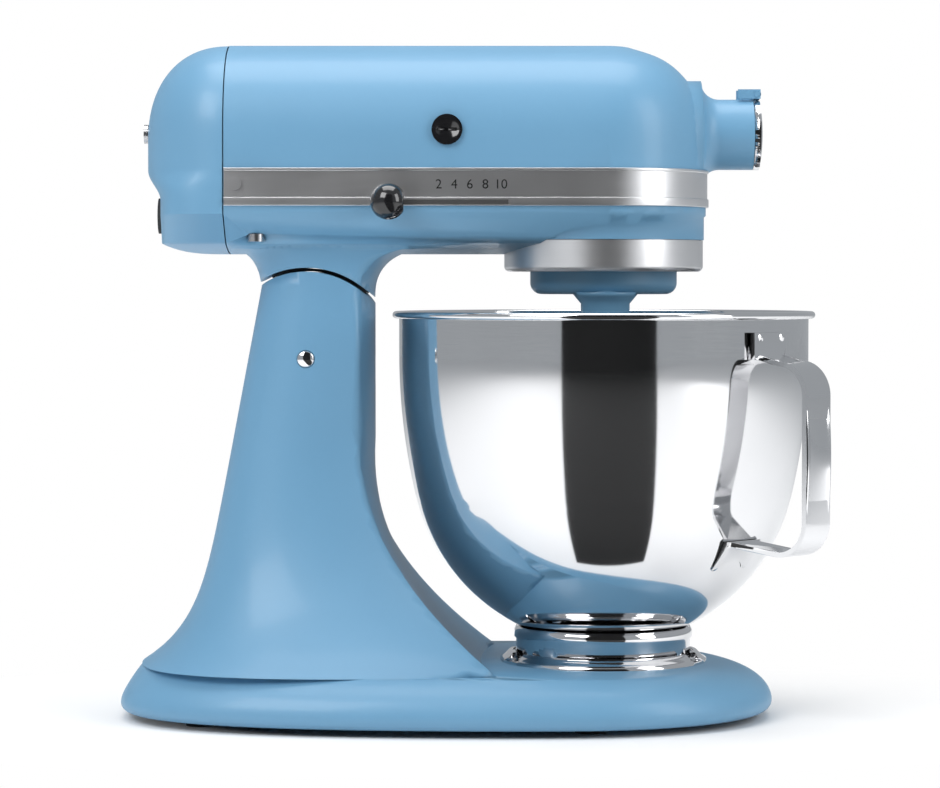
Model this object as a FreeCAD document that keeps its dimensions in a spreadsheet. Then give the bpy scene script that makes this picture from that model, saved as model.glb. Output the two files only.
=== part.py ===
import FreeCAD, Part
import math
import os
import Sketcher

# A tilt-head stand mixer. Every piece is drawn about the bowl's vertical axis, with +X to the front, +Z up
# and the table at Z = 0, and is then placed so that the middle of the whole object stands over the origin.

V = FreeCAD.Vector
UP = V(0, 0, 1)
FULL = math.radians(360)
TURN = {
    "X": FreeCAD.Rotation(V(0, 1, 0), 90),
    "Y": FreeCAD.Rotation(V(1, 0, 0), -90),
    "Z": FreeCAD.Rotation(),
}

# Driving dimensions in millimetres. Distances "back" run from the bowl axis to the rear.
SIZES = {
    # base casting
    "base_front": 91,
    "base_back": 260,
    "base_half_width": 108,
    "base_widest_back": 30,
    "base_bottom_z": 4,
    "base_rim_z": 9,
    "deck_z": 29,
    "base_front_round": 36,
    "base_side_round": 14,
    "base_rear_round": 12,
    "base_wall": 5,
    "foot_radius": 9,
    "foot_stem_radius": 4,
    "foot_stem_length": 7,
    "foot_front": 62,
    "foot_side": 78,
    "foot_side_back": 10,
    "foot_rear_back": 214,
    "foot_rear_side": 50,
    # column casting
    "column_half_width": 39,
    "column_foot_half_width": 90,
    "column_edge_back": 131,
    "column_edge_foot_back": 58,
    "column_edge_foot_half_width": 82,
    "column_rear_back": 184,
    "column_rear_foot_back": 248,
    "column_rear_lean": 38,
    "column_face_bulge": 8,
    "column_face_hollow": 8,
    "column_straight_z": 150,
    "column_head_z": 231,
    "column_wall": 6,
    "column_floor": 8,
        "column_screw_front": 115,
    "column_screw_rear": 195,
    "column_screw_side": 40,
    "column_screw_radius": 3,
    # tilt hinge
    "pin_back": 158.8,
    "pin_z": 192.8,
    "pin_radius": 4.75,
    "yoke_radius": 46.2,
    "yoke_gap": 2.1,
    "yoke_half_width": 18.5,
    "yoke_front_wall": 5,
    "yoke_rear_wall": 4,
    "yoke_floor_z": 160,
    "tongue_radius": 16,
    "tongue_lug_radius": 21.5,
    "lock_bolt_radius": 3,
    "lock_bolt_drop": 19.5,
    "lock_bolt_forward": 17,
    "lock_travel": 12,
    "lock_grip": 13,
    # head casting and its covers
    "head_half_width": 61,
    "head_crown_z": 360,
    "head_shoulder_z": 308,
    "head_crease_z": 269,
    "head_chin_half_width": 41,
    "head_chin_z": 254,
    "head_belly_z": 248.4,
    "head_wall": 4,
    "nose_reach": 55,
    "seam_back": 200.5,
    "seam_gap": 0.6,
    "cover_reach": 44,
    "cover_box_reach": 36,
    "cover_box_z": 284,
    "boss_radius": 54,
    "boss_bottom_z": 256,
    "neck_round": 22,
    "neck_start_z": 229,
    "hub_z": 312.7,
    "hub_radius": 18.9,
    "hub_front": 80,
    "hub_flare": 10,
    "hub_bore_radius": 15.9,
    "hub_bore_depth": 26,
    "hub_cover_thick": 3.2,
    "hub_cover_dome": 1.8,
    "hub_hinge_radius": 1.5,
    "knob_radius": 9.5,
    "knob_length": 14,
    "knob_screw_radius": 3,
    "knob_back_from_front": 14,
    # trim band and speed lever
    "band_bottom_z": 273.3,
    "band_height": 19.8,
    "band_thick": 0.8,
    "band_bead": 0.7,
    "band_top_bead": 1.6,
    "band_low_bead": 4.5,
    "slot_back": 118,
    "slot_length": 66,
    "slot_height": 3.4,
    "slot_z": 275.2,
    "lever_rest_back": 114.3,
    "lever_half_width": 1.8,
    "ball_radius": 9.5,
    # drive line
    "shaft_radius": 6.35,
    "drip_ring_radius": 53.5,
    "drip_ring_height": 16.6,
    "drip_ring_wall": 1.4,
    "gearcase_radius": 51.5,
    "gearcase_thick": 7,
    "gear_module": 1.25,
    "ring_teeth": 56,
    "planet_teeth": 16,
    "ring_outer_radius": 43,
    "ring_gear_height": 8,
    "planetary_radius": 39.5,
    "planetary_bottom_z": 227,
    "planetary_height": 14.5,
    "planetary_round": 6,
    "agitator_boss_radius": 13,
    "agitator_boss_drop": 14,
    "agitator_end_z": 181,
    "cross_pin_z": 197,
    "cross_pin_radius": 2.2,
    "cross_pin_half_length": 10.5,
    "train_module": 1.5,
    "centre_teeth": 51,
    "pinion_teeth": 17,
    "train_gear_height": 9,
    "worm_teeth": 26,
    "worm_starts": 2,
    "worm_radius": 8,
    "worm_length": 28.2743,
    "wheel_height": 8,
    "bevel_teeth": 20,
    "bevel_radius": 14,
    "bevel_face": 5,
    "spindle_radius": 9,
    "spindle_square": 6.4,
    "bush_wall": 3,
    # motor
    "motor_z": 313,
    "stator_radius": 41.5,
    "stator_bore": 24.6,
    "stator_length": 46,
    "stator_back": 164,
    "core_radius": 23.9,
    "motor_shaft_radius": 4,
    "commutator_radius": 13,
    "commutator_length": 16,
    "brush_back": 84,
    "brush_half_width": 4,
    "brush_cap_radius": 8,
    "fan_radius": 34,
    "fan_thick": 9,
    "fan_back": 184,
    "bearing_radius": 11,
    "bearing_length": 8,
    "bracket_thick": 5,
    # bowl
    "bowl_wall": 1.0,
    "bowl_ball_radius": 103.7,
    "bowl_ball_z": 141.4,
    "bowl_flat_radius": 20,
    "bowl_knee_radius": 100.9,
    "bowl_knee_z": 117,
    "bowl_side_curve": 332,
    "bowl_radius": 110.2,
    "bowl_straight_z": 195,
    "bowl_rim_z": 214,
    "bowl_bead_radius": 1.9,
    "bowl_foot_radius": 47,
    "bowl_foot_wall": 1.6,
    "bowl_foot_gap": 0.96,
    "plate_radius": 55.8,
    "plate_thick": 1.6,
    "plate_rim_height": 4,
    "handle_reach": 143,
    "handle_width": 21,
    "handle_thick": 2.6,
    "handle_top_z": 196,
    "handle_low_z": 92,
    "handle_tab_width": 29,
    "handle_corner": 18,
    # beater
    "beater_top_z": 204,
    "beater_bottom_z": 58,
    "beater_half_width": 55,
    "beater_rim": 9,
    "beater_thick": 8,
    "beater_sleeve_radius": 10.5,
    # clearances
    "running_gap": 0.05,
    "band_gap": 0.25,
    "band_notch": 4.2,
    "clear_gap": 0.3,
    "screw_head_radius": 4.5,
}

# Bearings of the bowl handle about the bowl axis, from the front towards the speed lever's side, in degrees.
HANDLE_AZIMUTH = -42
# The hinge web leaves the pin between these two angles, measured up from the front.
WEB_ANGLES = (50, 68)
LUG_ANGLES = (-112, -88)
NOTCH_ANGLES = (-24, 24, 156, 204)
LUG_TURN = 25


class Size:
    """A length with its formula, so that sums of sizes stay tied to the sheet."""

    def __init__(self, number, text):
        self.number = float(number)
        self.text = text

    def __float__(self):
        return self.number

    def _join(self, other, sign, number, swap=False):
        words = other.text if isinstance(other, Size) else repr(float(other))
        pair = (words, self.text) if swap else (self.text, words)
        return Size(number, "(%s %s %s)" % (pair[0], sign, pair[1]))

    def __add__(self, other):
        return self._join(other, "+", self.number + float(other))

    __radd__ = __add__

    def __sub__(self, other):
        return self._join(other, "-", self.number - float(other))

    def __rsub__(self, other):
        return self._join(other, "-", float(other) - self.number, swap=True)

    def __mul__(self, other):
        return self._join(other, "*", self.number * float(other))

    __rmul__ = __mul__

    def __truediv__(self, other):
        return self._join(other, "/", self.number / float(other))

    def __neg__(self):
        return Size(-self.number, "(0 - %s)" % self.text)


doc = FreeCAD.newDocument("stand_mixer")
sheet = doc.addObject("Spreadsheet::Sheet", "dims")
for row, (word, number) in enumerate(SIZES.items(), start=1):
    sheet.set("A%d" % row, word)
    sheet.set("B%d" % row, str(number))
    sheet.setAlias("B%d" % row, word)
doc.recompute()


class Dims:
    """The sheet's cells as sizes, by name."""

    def __getattr__(self, word):
        return Size(sheet.get(word), "dims." + word)


d = Dims()
NODES = []
# the handle's outermost corner and the base's rear end set the middle of the object
HANDLE_COS = math.cos(math.radians(HANDLE_AZIMUTH))
HANDLE_SIN = -math.sin(math.radians(HANDLE_AZIMUTH))
SHIFT = (d.base_back - d.handle_reach * HANDLE_COS - d.handle_width * (HANDLE_SIN / 2)) / 2


def bind(obj, name, size):
    """Tie one property to a formula of the sheet."""
    if isinstance(size, Size):
        obj.setExpression(name, size.text)
    else:
        setattr(obj, name, size)


def place(obj, x, y, z, turn=None):
    """Put an object at x, y, z, with those of them that are sizes tied to the sheet."""
    obj.Placement = FreeCAD.Placement(V(float(x), float(y), float(z)), turn or obj.Placement.Rotation)
    for axis, size in zip("xyz", (x, y, z)):
        if isinstance(size, Size):
            obj.setExpression("Placement.Base." + axis, size.text)


def node(obj, label, x=0, y=0, z=0):
    """Name a finished sub-part and place it in the object's frame."""
    if obj.TypeId in ("Part::Cylinder", "Part::Box"):
        obj.Label = label + "_form"
        obj = group(label + "_piece", obj)
    obj.Label = label
    place(obj, SHIFT + x, y, z)
    NODES.append(obj)
    return obj


def solid(name, shape):
    """A free-form piece whose shape is worked out here from the sheet."""
    obj = doc.addObject("Part::Feature", name)
    obj.Shape = shape
    return obj


def cylinder(name, radius, height, x=0, y=0, z=0, along="Z"):
    """A cylinder that starts at x, y, z and runs along an axis."""
    obj = doc.addObject("Part::Cylinder", name)
    bind(obj, "Radius", radius)
    bind(obj, "Height", height)
    place(obj, x, y, z, TURN[along])
    return obj


def cone(name, radius, top_radius, height, x=0, y=0, z=0, along="Z"):
    """A cone that starts at x, y, z and runs along an axis."""
    obj = doc.addObject("Part::Cone", name)
    bind(obj, "Radius1", radius)
    bind(obj, "Radius2", top_radius)
    bind(obj, "Height", height)
    place(obj, x, y, z, TURN[along])
    return obj


def box(name, length, width, height, x, y, z):
    """A box that is centred on x and y and starts at z."""
    obj = doc.addObject("Part::Box", name)
    bind(obj, "Length", length)
    bind(obj, "Width", width)
    bind(obj, "Height", height)
    place(obj, x - length / 2, y - width / 2, z)
    return obj


def fuse(name, *shapes):
    """One solid out of several."""
    obj = doc.addObject("Part::MultiFuse", name)
    obj.Shapes = list(shapes)
    obj.Refine = True
    return obj


def group(name, *shapes):
    """Several separate solids kept as one piece."""
    obj = doc.addObject("Part::Compound", name)
    obj.Links = list(shapes)
    return obj


def cut(name, base, *tools):
    """A piece with others taken out of it."""
    obj = doc.addObject("Part::Cut", name)
    obj.Base = base
    obj.Tool = tools[0] if len(tools) == 1 else fuse(name + "_tools", *tools)
    return obj


def ring(name, outer, inner, height, x=0, y=0, z=0, along="Z"):
    """A plain ring or bush."""
    return cut(
        name,
        cylinder(name + "_outer", outer, height, x, y, z, along),
        cylinder(name + "_bore", inner, height, x, y, z, along),
    )


def arc_through(start, end, radius):
    """The middle point of the arc from start to end, which turns left when the radius is positive."""
    half = (end - start) * 0.5
    reach = half.Length
    size = max(abs(radius), reach)
    rise = size - math.sqrt(size * size - reach * reach)
    side = V(half.y, -half.x, 0).normalize()
    return start + half + side * math.copysign(rise, radius)


def sketch(body, plane, points):
    """A closed outline whose corners are tied to the sheet; a corner with a third number is reached by an arc."""
    drawing = body.newObject("Sketcher::SketchObject", body.Name + "_outline")
    support = [f for f in body.Origin.OriginFeatures if f.Role == plane]
    drawing.AttachmentSupport = (support[0], [""])
    drawing.MapMode = "FlatFace"
    count = len(points)
    corners = [V(float(p[0]), float(p[1]), 0) for p in points]
    for i in range(count):
        start = corners[i]
        end = corners[(i + 1) % count]
        goal = points[(i + 1) % count]
        if len(goal) == 3:
            middle = arc_through(start, end, float(goal[2]))
            drawing.addGeometry(Part.Arc(start, middle, end), False)
        else:
            drawing.addGeometry(Part.LineSegment(start, end), False)
    starts = []
    for i in range(count):
        goal = points[(i + 1) % count]
        # an arc that turns right is stored the other way round
        starts.append(2 if len(goal) == 3 and float(goal[2]) < 0 else 1)
    for i in range(count):
        after = (i + 1) % count
        drawing.addConstraint(Sketcher.Constraint("Coincident", i, 3 - starts[i], after, starts[after]))
    for i in range(count):
        for kind, size in zip(("DistanceX", "DistanceY"), points[i]):
            number = drawing.addConstraint(Sketcher.Constraint(kind, -1, 1, i, starts[i], float(size)))
            if isinstance(size, Size):
                drawing.setExpression("Constraints[%d]" % number, size.text)
        goal = points[(i + 1) % count]
        if len(goal) == 3:
            number = drawing.addConstraint(Sketcher.Constraint("Radius", i, abs(float(goal[2]))))
            if isinstance(goal[2], Size):
                text = goal[2].text if float(goal[2]) > 0 else "-1 * %s" % goal[2].text
                drawing.setExpression("Constraints[%d]" % number, text)
    return drawing


def turned(name, points):
    """A body turned about Z from an outline of radius and height."""
    body = doc.addObject("PartDesign::Body", name)
    outline = sketch(body, "XZ_Plane", points)
    spin = body.newObject("PartDesign::Revolution", name + "_turn")
    spin.Profile = outline
    spin.ReferenceAxis = (outline, ["V_Axis"])
    spin.Angle = 360
    return body


def padded(name, plane, points, length, both_ways=True):
    """A body pushed out of an outline, evenly to both sides unless told otherwise."""
    body = doc.addObject("PartDesign::Body", name)
    outline = sketch(body, plane, points)
    push = body.newObject("PartDesign::Pad", name + "_pad")
    push.Profile = outline
    push.Midplane = both_ways
    bind(push, "Length", length)
    return body


def polygon_prism(points, direction):
    """A prism on a flat polygon."""
    return Part.Face(Part.makePolygon(points + points[:1])).extrude(direction)


def spline(points, closed=False):
    """A smooth edge through points."""
    curve = Part.BSplineCurve()
    curve.interpolate(points, PeriodicFlag=closed)
    return curve.toShape()


def superellipse(angle, power):
    """Cosine and sine of an angle, squared off by a power above two."""
    c, s = math.cos(angle), math.sin(angle)
    return (
        math.copysign(abs(c) ** (2 / power), c),
        math.copysign(abs(s) ** (2 / power), s),
    )


# Base casting: outlines stacked from the rim to the deck, round at the front and squarer at the rear.
def base_outline(z, front_inset, side_inset, rear_inset):
    """The base's outline at one height."""
    middle = -float(d.base_widest_back)
    front = float(d.base_front) - front_inset - middle
    rear = float(d.base_back) - rear_inset + middle
    side = float(d.base_half_width) - side_inset
    points = []
    steps = 32
    for i in range(steps):
        angle = FULL * i / steps
        ahead = math.cos(angle) >= 0
        c, s = superellipse(angle, 2.15 if ahead else 2.7)
        points.append(V(middle + (front if ahead else rear) * c, side * s, z))
    return Part.Wire(spline(points, True))


def base_block(wall):
    """The base as a solid block, set in by a wall."""
    rim, deck = float(d.base_rim_z), float(d.deck_z) - wall
    wires = [base_outline(float(d.base_bottom_z) - (1 if wall else 0), 4 + wall, 4 + wall, 4 + wall)]
    for degrees in (0, 20, 40, 60, 76, 90):
        angle = math.radians(degrees)
        share = math.sin(angle)
        front = float(d.base_front_round) * (1 - math.cos(angle))
        side = float(d.base_side_round) * share ** 2.2
        rear = float(d.base_rear_round) * share ** 1.4
        wires.append(base_outline(rim + (deck - rim) * share, front + wall, side + wall, rear + wall))
    return Part.makeLoft(wires, True, False)


def foot_places():
    """The middle of each rubber foot."""
    return [
        (d.foot_front, 0),
        (-d.foot_side_back, d.foot_side),
        (-d.foot_side_back, -d.foot_side),
        (-d.foot_rear_back, d.foot_rear_side),
        (-d.foot_rear_back, -d.foot_rear_side),
    ]


def screw_places():
    """The middle of each screw that holds the column."""
    return [
        (-back, side * way)
        for back in (d.column_screw_front, d.column_screw_rear)
        for side in (d.column_screw_side,)
        for way in (1, -1)
    ]


def make_base():
    """Base casting, rubber feet and the screws that come up into the column."""
    shell = cut(
        "base_shell", solid("base_outside", base_block(0)),
        solid("base_inside", base_block(float(d.base_wall))),
    )
    inside = d.deck_z - d.base_wall
    bosses = []
    holes = []
    feet = []
    for i, (x, y) in enumerate(foot_places()):
        start = d.base_bottom_z + 1
        bosses.append(cylinder("foot_boss_%d" % i, d.foot_radius, inside - start + 1, x, y, start))
        hole = d.foot_stem_radius + d.running_gap
        holes.append(cylinder("foot_hole_%d" % i, hole, d.foot_stem_length, x, y, start))
        feet.append(
            fuse(
                "foot_%d" % i,
                cone("foot_pad_%d" % i, d.foot_radius - 1.5, d.foot_radius, start, x, y, 0),
                cylinder("foot_stem_%d" % i, d.foot_stem_radius, d.foot_stem_length - 1, x, y, start),
            )
        )
    screws = []
    for i, (x, y) in enumerate(screw_places()):
        hole = d.column_screw_radius + d.running_gap
        holes.append(cylinder("column_hole_%d" % i, hole, d.base_wall + 2, x, y, inside - 1))
        screws.append(
            fuse(
                "column_screw_%d" % i,
                cylinder("column_screw_head_%d" % i, d.column_screw_radius * 2, 4, x, y, inside - 4),
                cylinder("column_screw_shank_%d" % i, d.column_screw_radius, d.base_wall + 12, x, y, inside),
            )
        )
    node(cut("base_casting", fuse("base_with_bosses", shell, *bosses), *holes), "base_casting")
    node(group("rubber_feet", *feet), "rubber_feet")
    node(group("column_screws", *screws), "column_screws")


# Column casting: level sections with a crisp edge each side of the front face, which is bowed out at the top
# and hollowed where it runs down to the bowl.
def column_outline(z, wall=0.0, front_run=0.0, rear_run=0.0):
    """The column's outline at one height, set in by a wall, or run out to the front and rear at the neck."""
    low, high = float(d.deck_z), float(d.column_head_z)
    rise = min((z - low) / (high - low), 1)
    bend = min((z - low) / (float(d.column_straight_z) - low), 1)
    flare = (1 - rise) ** 4.5
    half = float(d.column_half_width)
    side = half + (float(d.column_foot_half_width) - half) * flare - wall
    edge_half = half + (float(d.column_edge_foot_half_width) - half) * (1 - rise) ** 3.5 - wall - 1
    edge_back, edge_foot = float(d.column_edge_back), float(d.column_edge_foot_back)
    edge = -edge_back + (edge_back - edge_foot) * (1 - bend) ** 2.1 - wall + front_run
    bulge = float(d.column_face_bulge)
    bulge -= (bulge + float(d.column_face_hollow)) * (1 - bend) ** 1.3
    lean = float(d.column_rear_lean) * (1 - rise)
    foot = float(d.column_rear_foot_back) - float(d.column_rear_back) - float(d.column_rear_lean)
    rear = -float(d.column_rear_back) - lean - foot * (1 - rise) ** 10.5 + wall - rear_run
    depth = 0.62 * (edge - rear)
    face = spline([V(edge, -edge_half, z), V(edge + bulge, 0, z), V(edge, edge_half, z)])
    points = [V(edge, edge_half, z)]
    for degrees in range(90, 271, 20):
        c, s = superellipse(math.radians(degrees), 2.7)
        points.append(V(rear + depth + depth * c, side * s, z))
    points.append(V(edge, -edge_half, z))
    return Part.Wire([face, spline(points)])


def column_block(wall, top):
    """The column as a solid block, set in by a wall, up to a height."""
    low, bend = float(d.deck_z), float(d.column_straight_z)
    shares = [i / 16 for i in range(17)]
    lower = Part.makeLoft([column_outline(low + (bend - low) * s, wall) for s in shares], True, False)
    if top <= bend:
        return lower
    upper = Part.makeLoft([column_outline(z, wall) for z in (bend, float(d.column_head_z), top)], True, True)
    return lower.fuse(upper)


def make_column():
    """Column casting with its yoke, bored for the hinge pin and slotted for the lock bolt."""
    pin_x = -d.pin_back
    top = float(d.pin_z) + float(d.yoke_radius) + 5
    outside = solid("column_outside", column_block(0, top))
    room = Part.makeBox(400, 400, 400, V(-400, -200, float(d.deck_z) + float(d.column_floor)))
    inside = solid("column_inside", column_block(float(d.column_wall), 0).common(room))
    width = d.base_half_width * 2
    above = box("above_pin", d.base_back, width, d.yoke_radius * 2, pin_x, 0, d.pin_z)
    round_top = cylinder("yoke_round", d.yoke_radius, width, pin_x, -width / 2, d.pin_z, "Y")
    over_yoke = cut("over_yoke", above, round_top)
    rear = d.column_rear_back - d.yoke_rear_wall
    front = d.column_edge_back - d.column_face_bulge + d.yoke_front_wall
    slot = box(
        "yoke_slot", rear - front, d.yoke_half_width * 2, d.yoke_radius * 2, (rear + front) / -2, 0, d.yoke_floor_z
    )
    bore = cylinder("pin_bore", d.pin_radius + d.running_gap, width, pin_x, -width / 2, d.pin_z, "Y")
    bolt_gap = d.lock_bolt_radius + d.clear_gap
    bolt_z = d.pin_z - d.lock_bolt_drop
    bolt_x = pin_x + d.lock_bolt_forward
    bolt_slot = fuse(
        "bolt_slot",
        cylinder("bolt_slot_front", bolt_gap, width / 2, bolt_x, 0, bolt_z, "Y"),
        cylinder("bolt_slot_rear", bolt_gap, width / 2, bolt_x - d.lock_travel, 0, bolt_z, "Y"),
        box(
            "bolt_slot_run", d.lock_travel, width / 2, bolt_gap * 2, bolt_x - d.lock_travel / 2, width / 4,
            bolt_z - bolt_gap,
        ),
    )
    bosses = []
    holes = []
    for i, (x, y) in enumerate(screw_places()):
        bosses.append(cylinder("column_boss_%d" % i, d.column_screw_radius * 2.4, 20, x, y, d.deck_z))
        hole = d.column_screw_radius + d.running_gap
        holes.append(cylinder("column_tap_%d" % i, hole, 14, x, y, d.deck_z))
    hollow = fuse("column_hollow", cut("column_shell", outside, inside), *bosses)
    node(cut("column_casting", hollow, over_yoke, slot, bore, bolt_slot, *holes), "column_casting")
    length = d.column_half_width * 2
    dome = d.pin_radius - 1
    pin = fuse(
        "hinge_pin",
        cylinder("pin_body", d.pin_radius, length, pin_x, -length / 2, d.pin_z, "Y"),
        cone("pin_near_end", dome, d.pin_radius, 1, pin_x, -length / 2 - 1, d.pin_z, "Y"),
        cone("pin_far_end", d.pin_radius, dome, 1, pin_x, length / 2, d.pin_z, "Y"),
    )
    node(pin, "hinge_pin")
    inner = d.yoke_half_width / 2
    bolt = cylinder(
        "lock_bolt", d.lock_bolt_radius, d.column_half_width + 3 - inner, bolt_x, inner, bolt_z, "Y",
    )
    node(bolt, "lock_bolt")
    grip_y = d.column_half_width + 3
    grip = fuse(
        "lock_lever",
        box("lock_plate", d.lock_grip, 2, d.lock_grip * 0.7, bolt_x, grip_y + 1, bolt_z - d.lock_grip * 0.35),
        cylinder("lock_grip", d.lock_grip * 0.3, 9, bolt_x, grip_y + 2, bolt_z, "Y"),
    )
    node(grip, "lock_lever")


# Head casting: one section carried along the arm and turned about the bowl axis to make the nose.
def crown_edge(half, crown, shoulder, side):
    """The curve from the flank over to the crown, on one side."""
    points = []
    for degrees in (0, 15, 30, 45, 60, 75, 90):
        c, s = superellipse(math.radians(degrees), 2.25)
        points.append(V(0, side * half * c, shoulder + (crown - shoulder) * s))
    curve = Part.BSplineCurve()
    curve.interpolate(points, InitialTangent=V(0, 0, 1), FinalTangent=V(0, -side, 0))
    return curve.toShape()


def half_section(wall, side, floor):
    """Edges of half the head's section, from the belly or a flat floor round the flank to the crown."""
    half = float(d.head_half_width) - wall
    crown = float(d.head_crown_z) - wall
    shoulder = float(d.head_shoulder_z)
    chin = V(0, side * (float(d.head_chin_half_width) - wall), float(d.head_chin_z) + wall)
    crease = V(0, side * half, float(d.head_crease_z) + wall / 2)
    flank = V(0, side * half, shoulder)
    if floor:
        under = Part.makeLine(V(0, 0, chin.z), chin)
    else:
        low = V(0, 0, float(d.head_belly_z))
        quarter = V(0, chin.y / 2, low.z + (chin.z - low.z) / 4)
        under = Part.Arc(low, quarter, chin).toShape()
    return [
        under, Part.makeLine(chin, crease), Part.makeLine(crease, flank),
        crown_edge(half, crown, shoulder, side),
    ]


def arm_block(wall, start, length):
    """The arm's section carried along X."""
    right = half_section(wall, 1, wall > 0)
    left = half_section(wall, -1, wall > 0)
    face = Part.Face(Part.Wire(Part.__sortEdges__(right + left)))
    face.translate(V(start, 0, 0))
    return face.extrude(V(length, 0, 0))


def dome_block(wall, reach, floor):
    """Half the section turned half round a vertical axis and drawn out to a reach."""
    edges = half_section(wall, 1, floor)
    high = V(0, 0, float(d.head_crown_z) - wall)
    ends = sorted((v.Point for v in edges[0].Vertexes), key=lambda p: abs(p.y))
    low = ends[0]
    face = Part.Face(Part.Wire(Part.__sortEdges__(edges + [Part.makeLine(high, low)])))
    body = face.revolve(V(0, 0, 0), UP, -180)
    stretch = FreeCAD.Matrix()
    stretch.A11 = (reach - wall) / (float(d.head_half_width) - wall)
    body = body.transformGeometry(stretch)
    body.fix(0.01, 0.01, 0.1)
    return body


def head_block(wall, back):
    """The arm and nose as one solid block, set in by a wall."""
    nose = dome_block(wall, float(d.nose_reach), wall > 0)
    return arm_block(wall, -back, back).fuse(nose)


def neck_block():
    """The neck below the head, which spreads into the belly at its front and rear."""
    start = float(d.neck_start_z)
    run = float(d.neck_round)
    wires = [column_outline(start - 8)]
    for degrees in (0, 30, 60, 90):
        angle = math.radians(degrees)
        out = run * (1 - math.cos(angle))
        wires.append(column_outline(start + run * math.sin(angle), 0, out * 1.2, out * 0.7))
    lower = Part.makeLoft(wires, True, False)
    upper = Part.Face(wires[-1]).extrude(V(0, 0, 10))
    return lower.fuse(upper)


def sector(inner, outer, angles, start, width):
    """A flat sector about the hinge pin, between two radii and two angles."""
    points = []
    for radius, degrees in ((inner, angles[0]), (outer, angles[0]), (outer, angles[1]), (inner, angles[1])):
        angle = math.radians(degrees)
        x = -float(d.pin_back) + radius * math.cos(angle)
        points.append(V(x, start, float(d.pin_z) + radius * math.sin(angle)))
    return polygon_prism(points, V(0, width, 0))


def make_head():
    """Head casting with its hub, boss, neck and hinge tongue."""
    seam = float(d.seam_back)
    wall = float(d.head_wall)
    pin_x = -d.pin_back
    arm = solid("arm", head_block(0, seam))
    boss = cylinder("boss", d.boss_radius, d.head_shoulder_z - d.boss_bottom_z, 0, 0, d.boss_bottom_z)
    neck = solid("neck", neck_block())
    width = d.head_half_width * 2
    swing = cylinder("yoke_swing", d.yoke_radius + d.yoke_gap, width, pin_x, -width / 2, d.pin_z, "Y")
    hub = cylinder("hub", d.hub_radius, d.hub_front - 20, 20, 0, d.hub_z, "X")
    flare = hub_flare()
    outside = fuse("head_outside", cut("neck_cut", fuse("arm_neck", arm, neck), swing), boss, hub, flare)
    inner_arm = solid("arm_inside", head_block(wall, seam + 1))
    well = cylinder(
        "boss_inside", d.gearcase_radius + d.running_gap, d.head_crease_z - d.boss_bottom_z + 12, 0, 0, d.boss_bottom_z - 1
    )
    ring_room = cylinder("ring_room", d.drip_ring_radius + d.clear_gap, 20, 0, 0, d.boss_bottom_z - 20)
    hub_back = d.hub_front - d.hub_bore_depth
    bore = cylinder("hub_bore", d.hub_bore_radius, d.hub_bore_depth + 1, hub_back, 0, d.hub_z, "X")
    bush_hole = cylinder(
        "hub_bush_hole", hub_bush_radius() + d.running_gap, 60, hub_back - 60, 0, d.hub_z, "X",
    )
    knob_x = d.hub_front - d.knob_back_from_front
    tap = cylinder("knob_tap", d.knob_screw_radius + d.running_gap, d.hub_radius + 2, knob_x, 0, d.hub_z, "Y")
    lever_slot = box(
        "lever_slot", d.slot_length, 20, d.slot_height, d.slot_length / 2 - d.slot_back, -d.head_half_width,
        d.slot_z - d.slot_height / 2,
    )
    brush_hole = cylinder(
        "brush_hole", d.brush_cap_radius + d.running_gap, width + 8, -d.brush_back, -width / 2 - 4,
        d.motor_z, "Y",
    )
    pockets = [
        cylinder(
            "screw_pocket_%d" % way, d.screw_head_radius + 0.6, 14, 16 - d.seam_back, way * 44,
            d.head_chin_z - 9,
        )
        for way in (1, -1)
    ]
    saddle = motor_saddle()
    shell = cut("head_shell", outside, inner_arm, well, ring_room)
    tongue = fuse(
        "tongue",
        cylinder(
            "tongue_boss", d.tongue_radius, d.yoke_half_width * 2 - 1, pin_x, 0.5 - d.yoke_half_width,
            d.pin_z, "Y",
        ),
        solid(
            "tongue_web",
            sector(8, float(d.yoke_radius) + 8, WEB_ANGLES, 0.5 - float(d.yoke_half_width), float(d.yoke_half_width) * 2 - 1),
        ),
        solid(
            "tongue_lug",
            sector(12, float(d.tongue_lug_radius), LUG_ANGLES, float(d.yoke_half_width) / 2, float(d.yoke_half_width) / 2 - 0.5),
        ),
    )
    pin_hole = cylinder("tongue_bore", d.pin_radius + d.running_gap, width, pin_x, -width / 2, d.pin_z, "Y")
    body = fuse("head_body", shell, tongue, saddle)
    node(
        cut("head_housing", body, pin_hole, bore, bush_hole, tap, lever_slot, brush_hole, *pockets),
        "head_housing",
    )
    screws = [
        cylinder(
            "neck_screw_%d" % way, d.screw_head_radius, 4, 16 - d.seam_back, way * 44, d.head_chin_z + 0.8,
        )
        for way in (1, -1)
    ]
    node(group("neck_screws", *screws), "neck_screws")


def hub_bush_radius():
    """Outside radius of the hub's bush."""
    return d.spindle_radius + d.running_gap + d.bush_wall


def hub_flare():
    """The hollow curve that spreads the hub into the nose."""
    root = d.hub_radius + d.hub_flare
    start = 30
    body = turned(
        "hub_spread",
        [
            (0, start),
            (root, start),
            (root, d.nose_reach - 3),
            (d.hub_radius, d.nose_reach - 3 + d.hub_flare, -d.hub_flare),
            (0, d.nose_reach - 3 + d.hub_flare),
        ],
    )
    place(body, 0, 0, d.hub_z, TURN["X"])
    return body


def motor_saddle():
    """Two ribs under the stator, hollowed to its round."""
    ribs = []
    for i, share in enumerate((0.25, 0.75)):
        x = d.stator_length * share - d.stator_back
        ribs.append(box("saddle_rib_%d" % i, 6, d.head_chin_half_width * 1.7, 34, x, 0, d.head_chin_z + 2))
    hollow = cylinder("saddle_hollow", d.stator_radius + d.running_gap, 200, -d.seam_back, 0, d.motor_z, "X")
    return cut("motor_saddle", fuse("saddle_ribs", *ribs), hollow)


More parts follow.
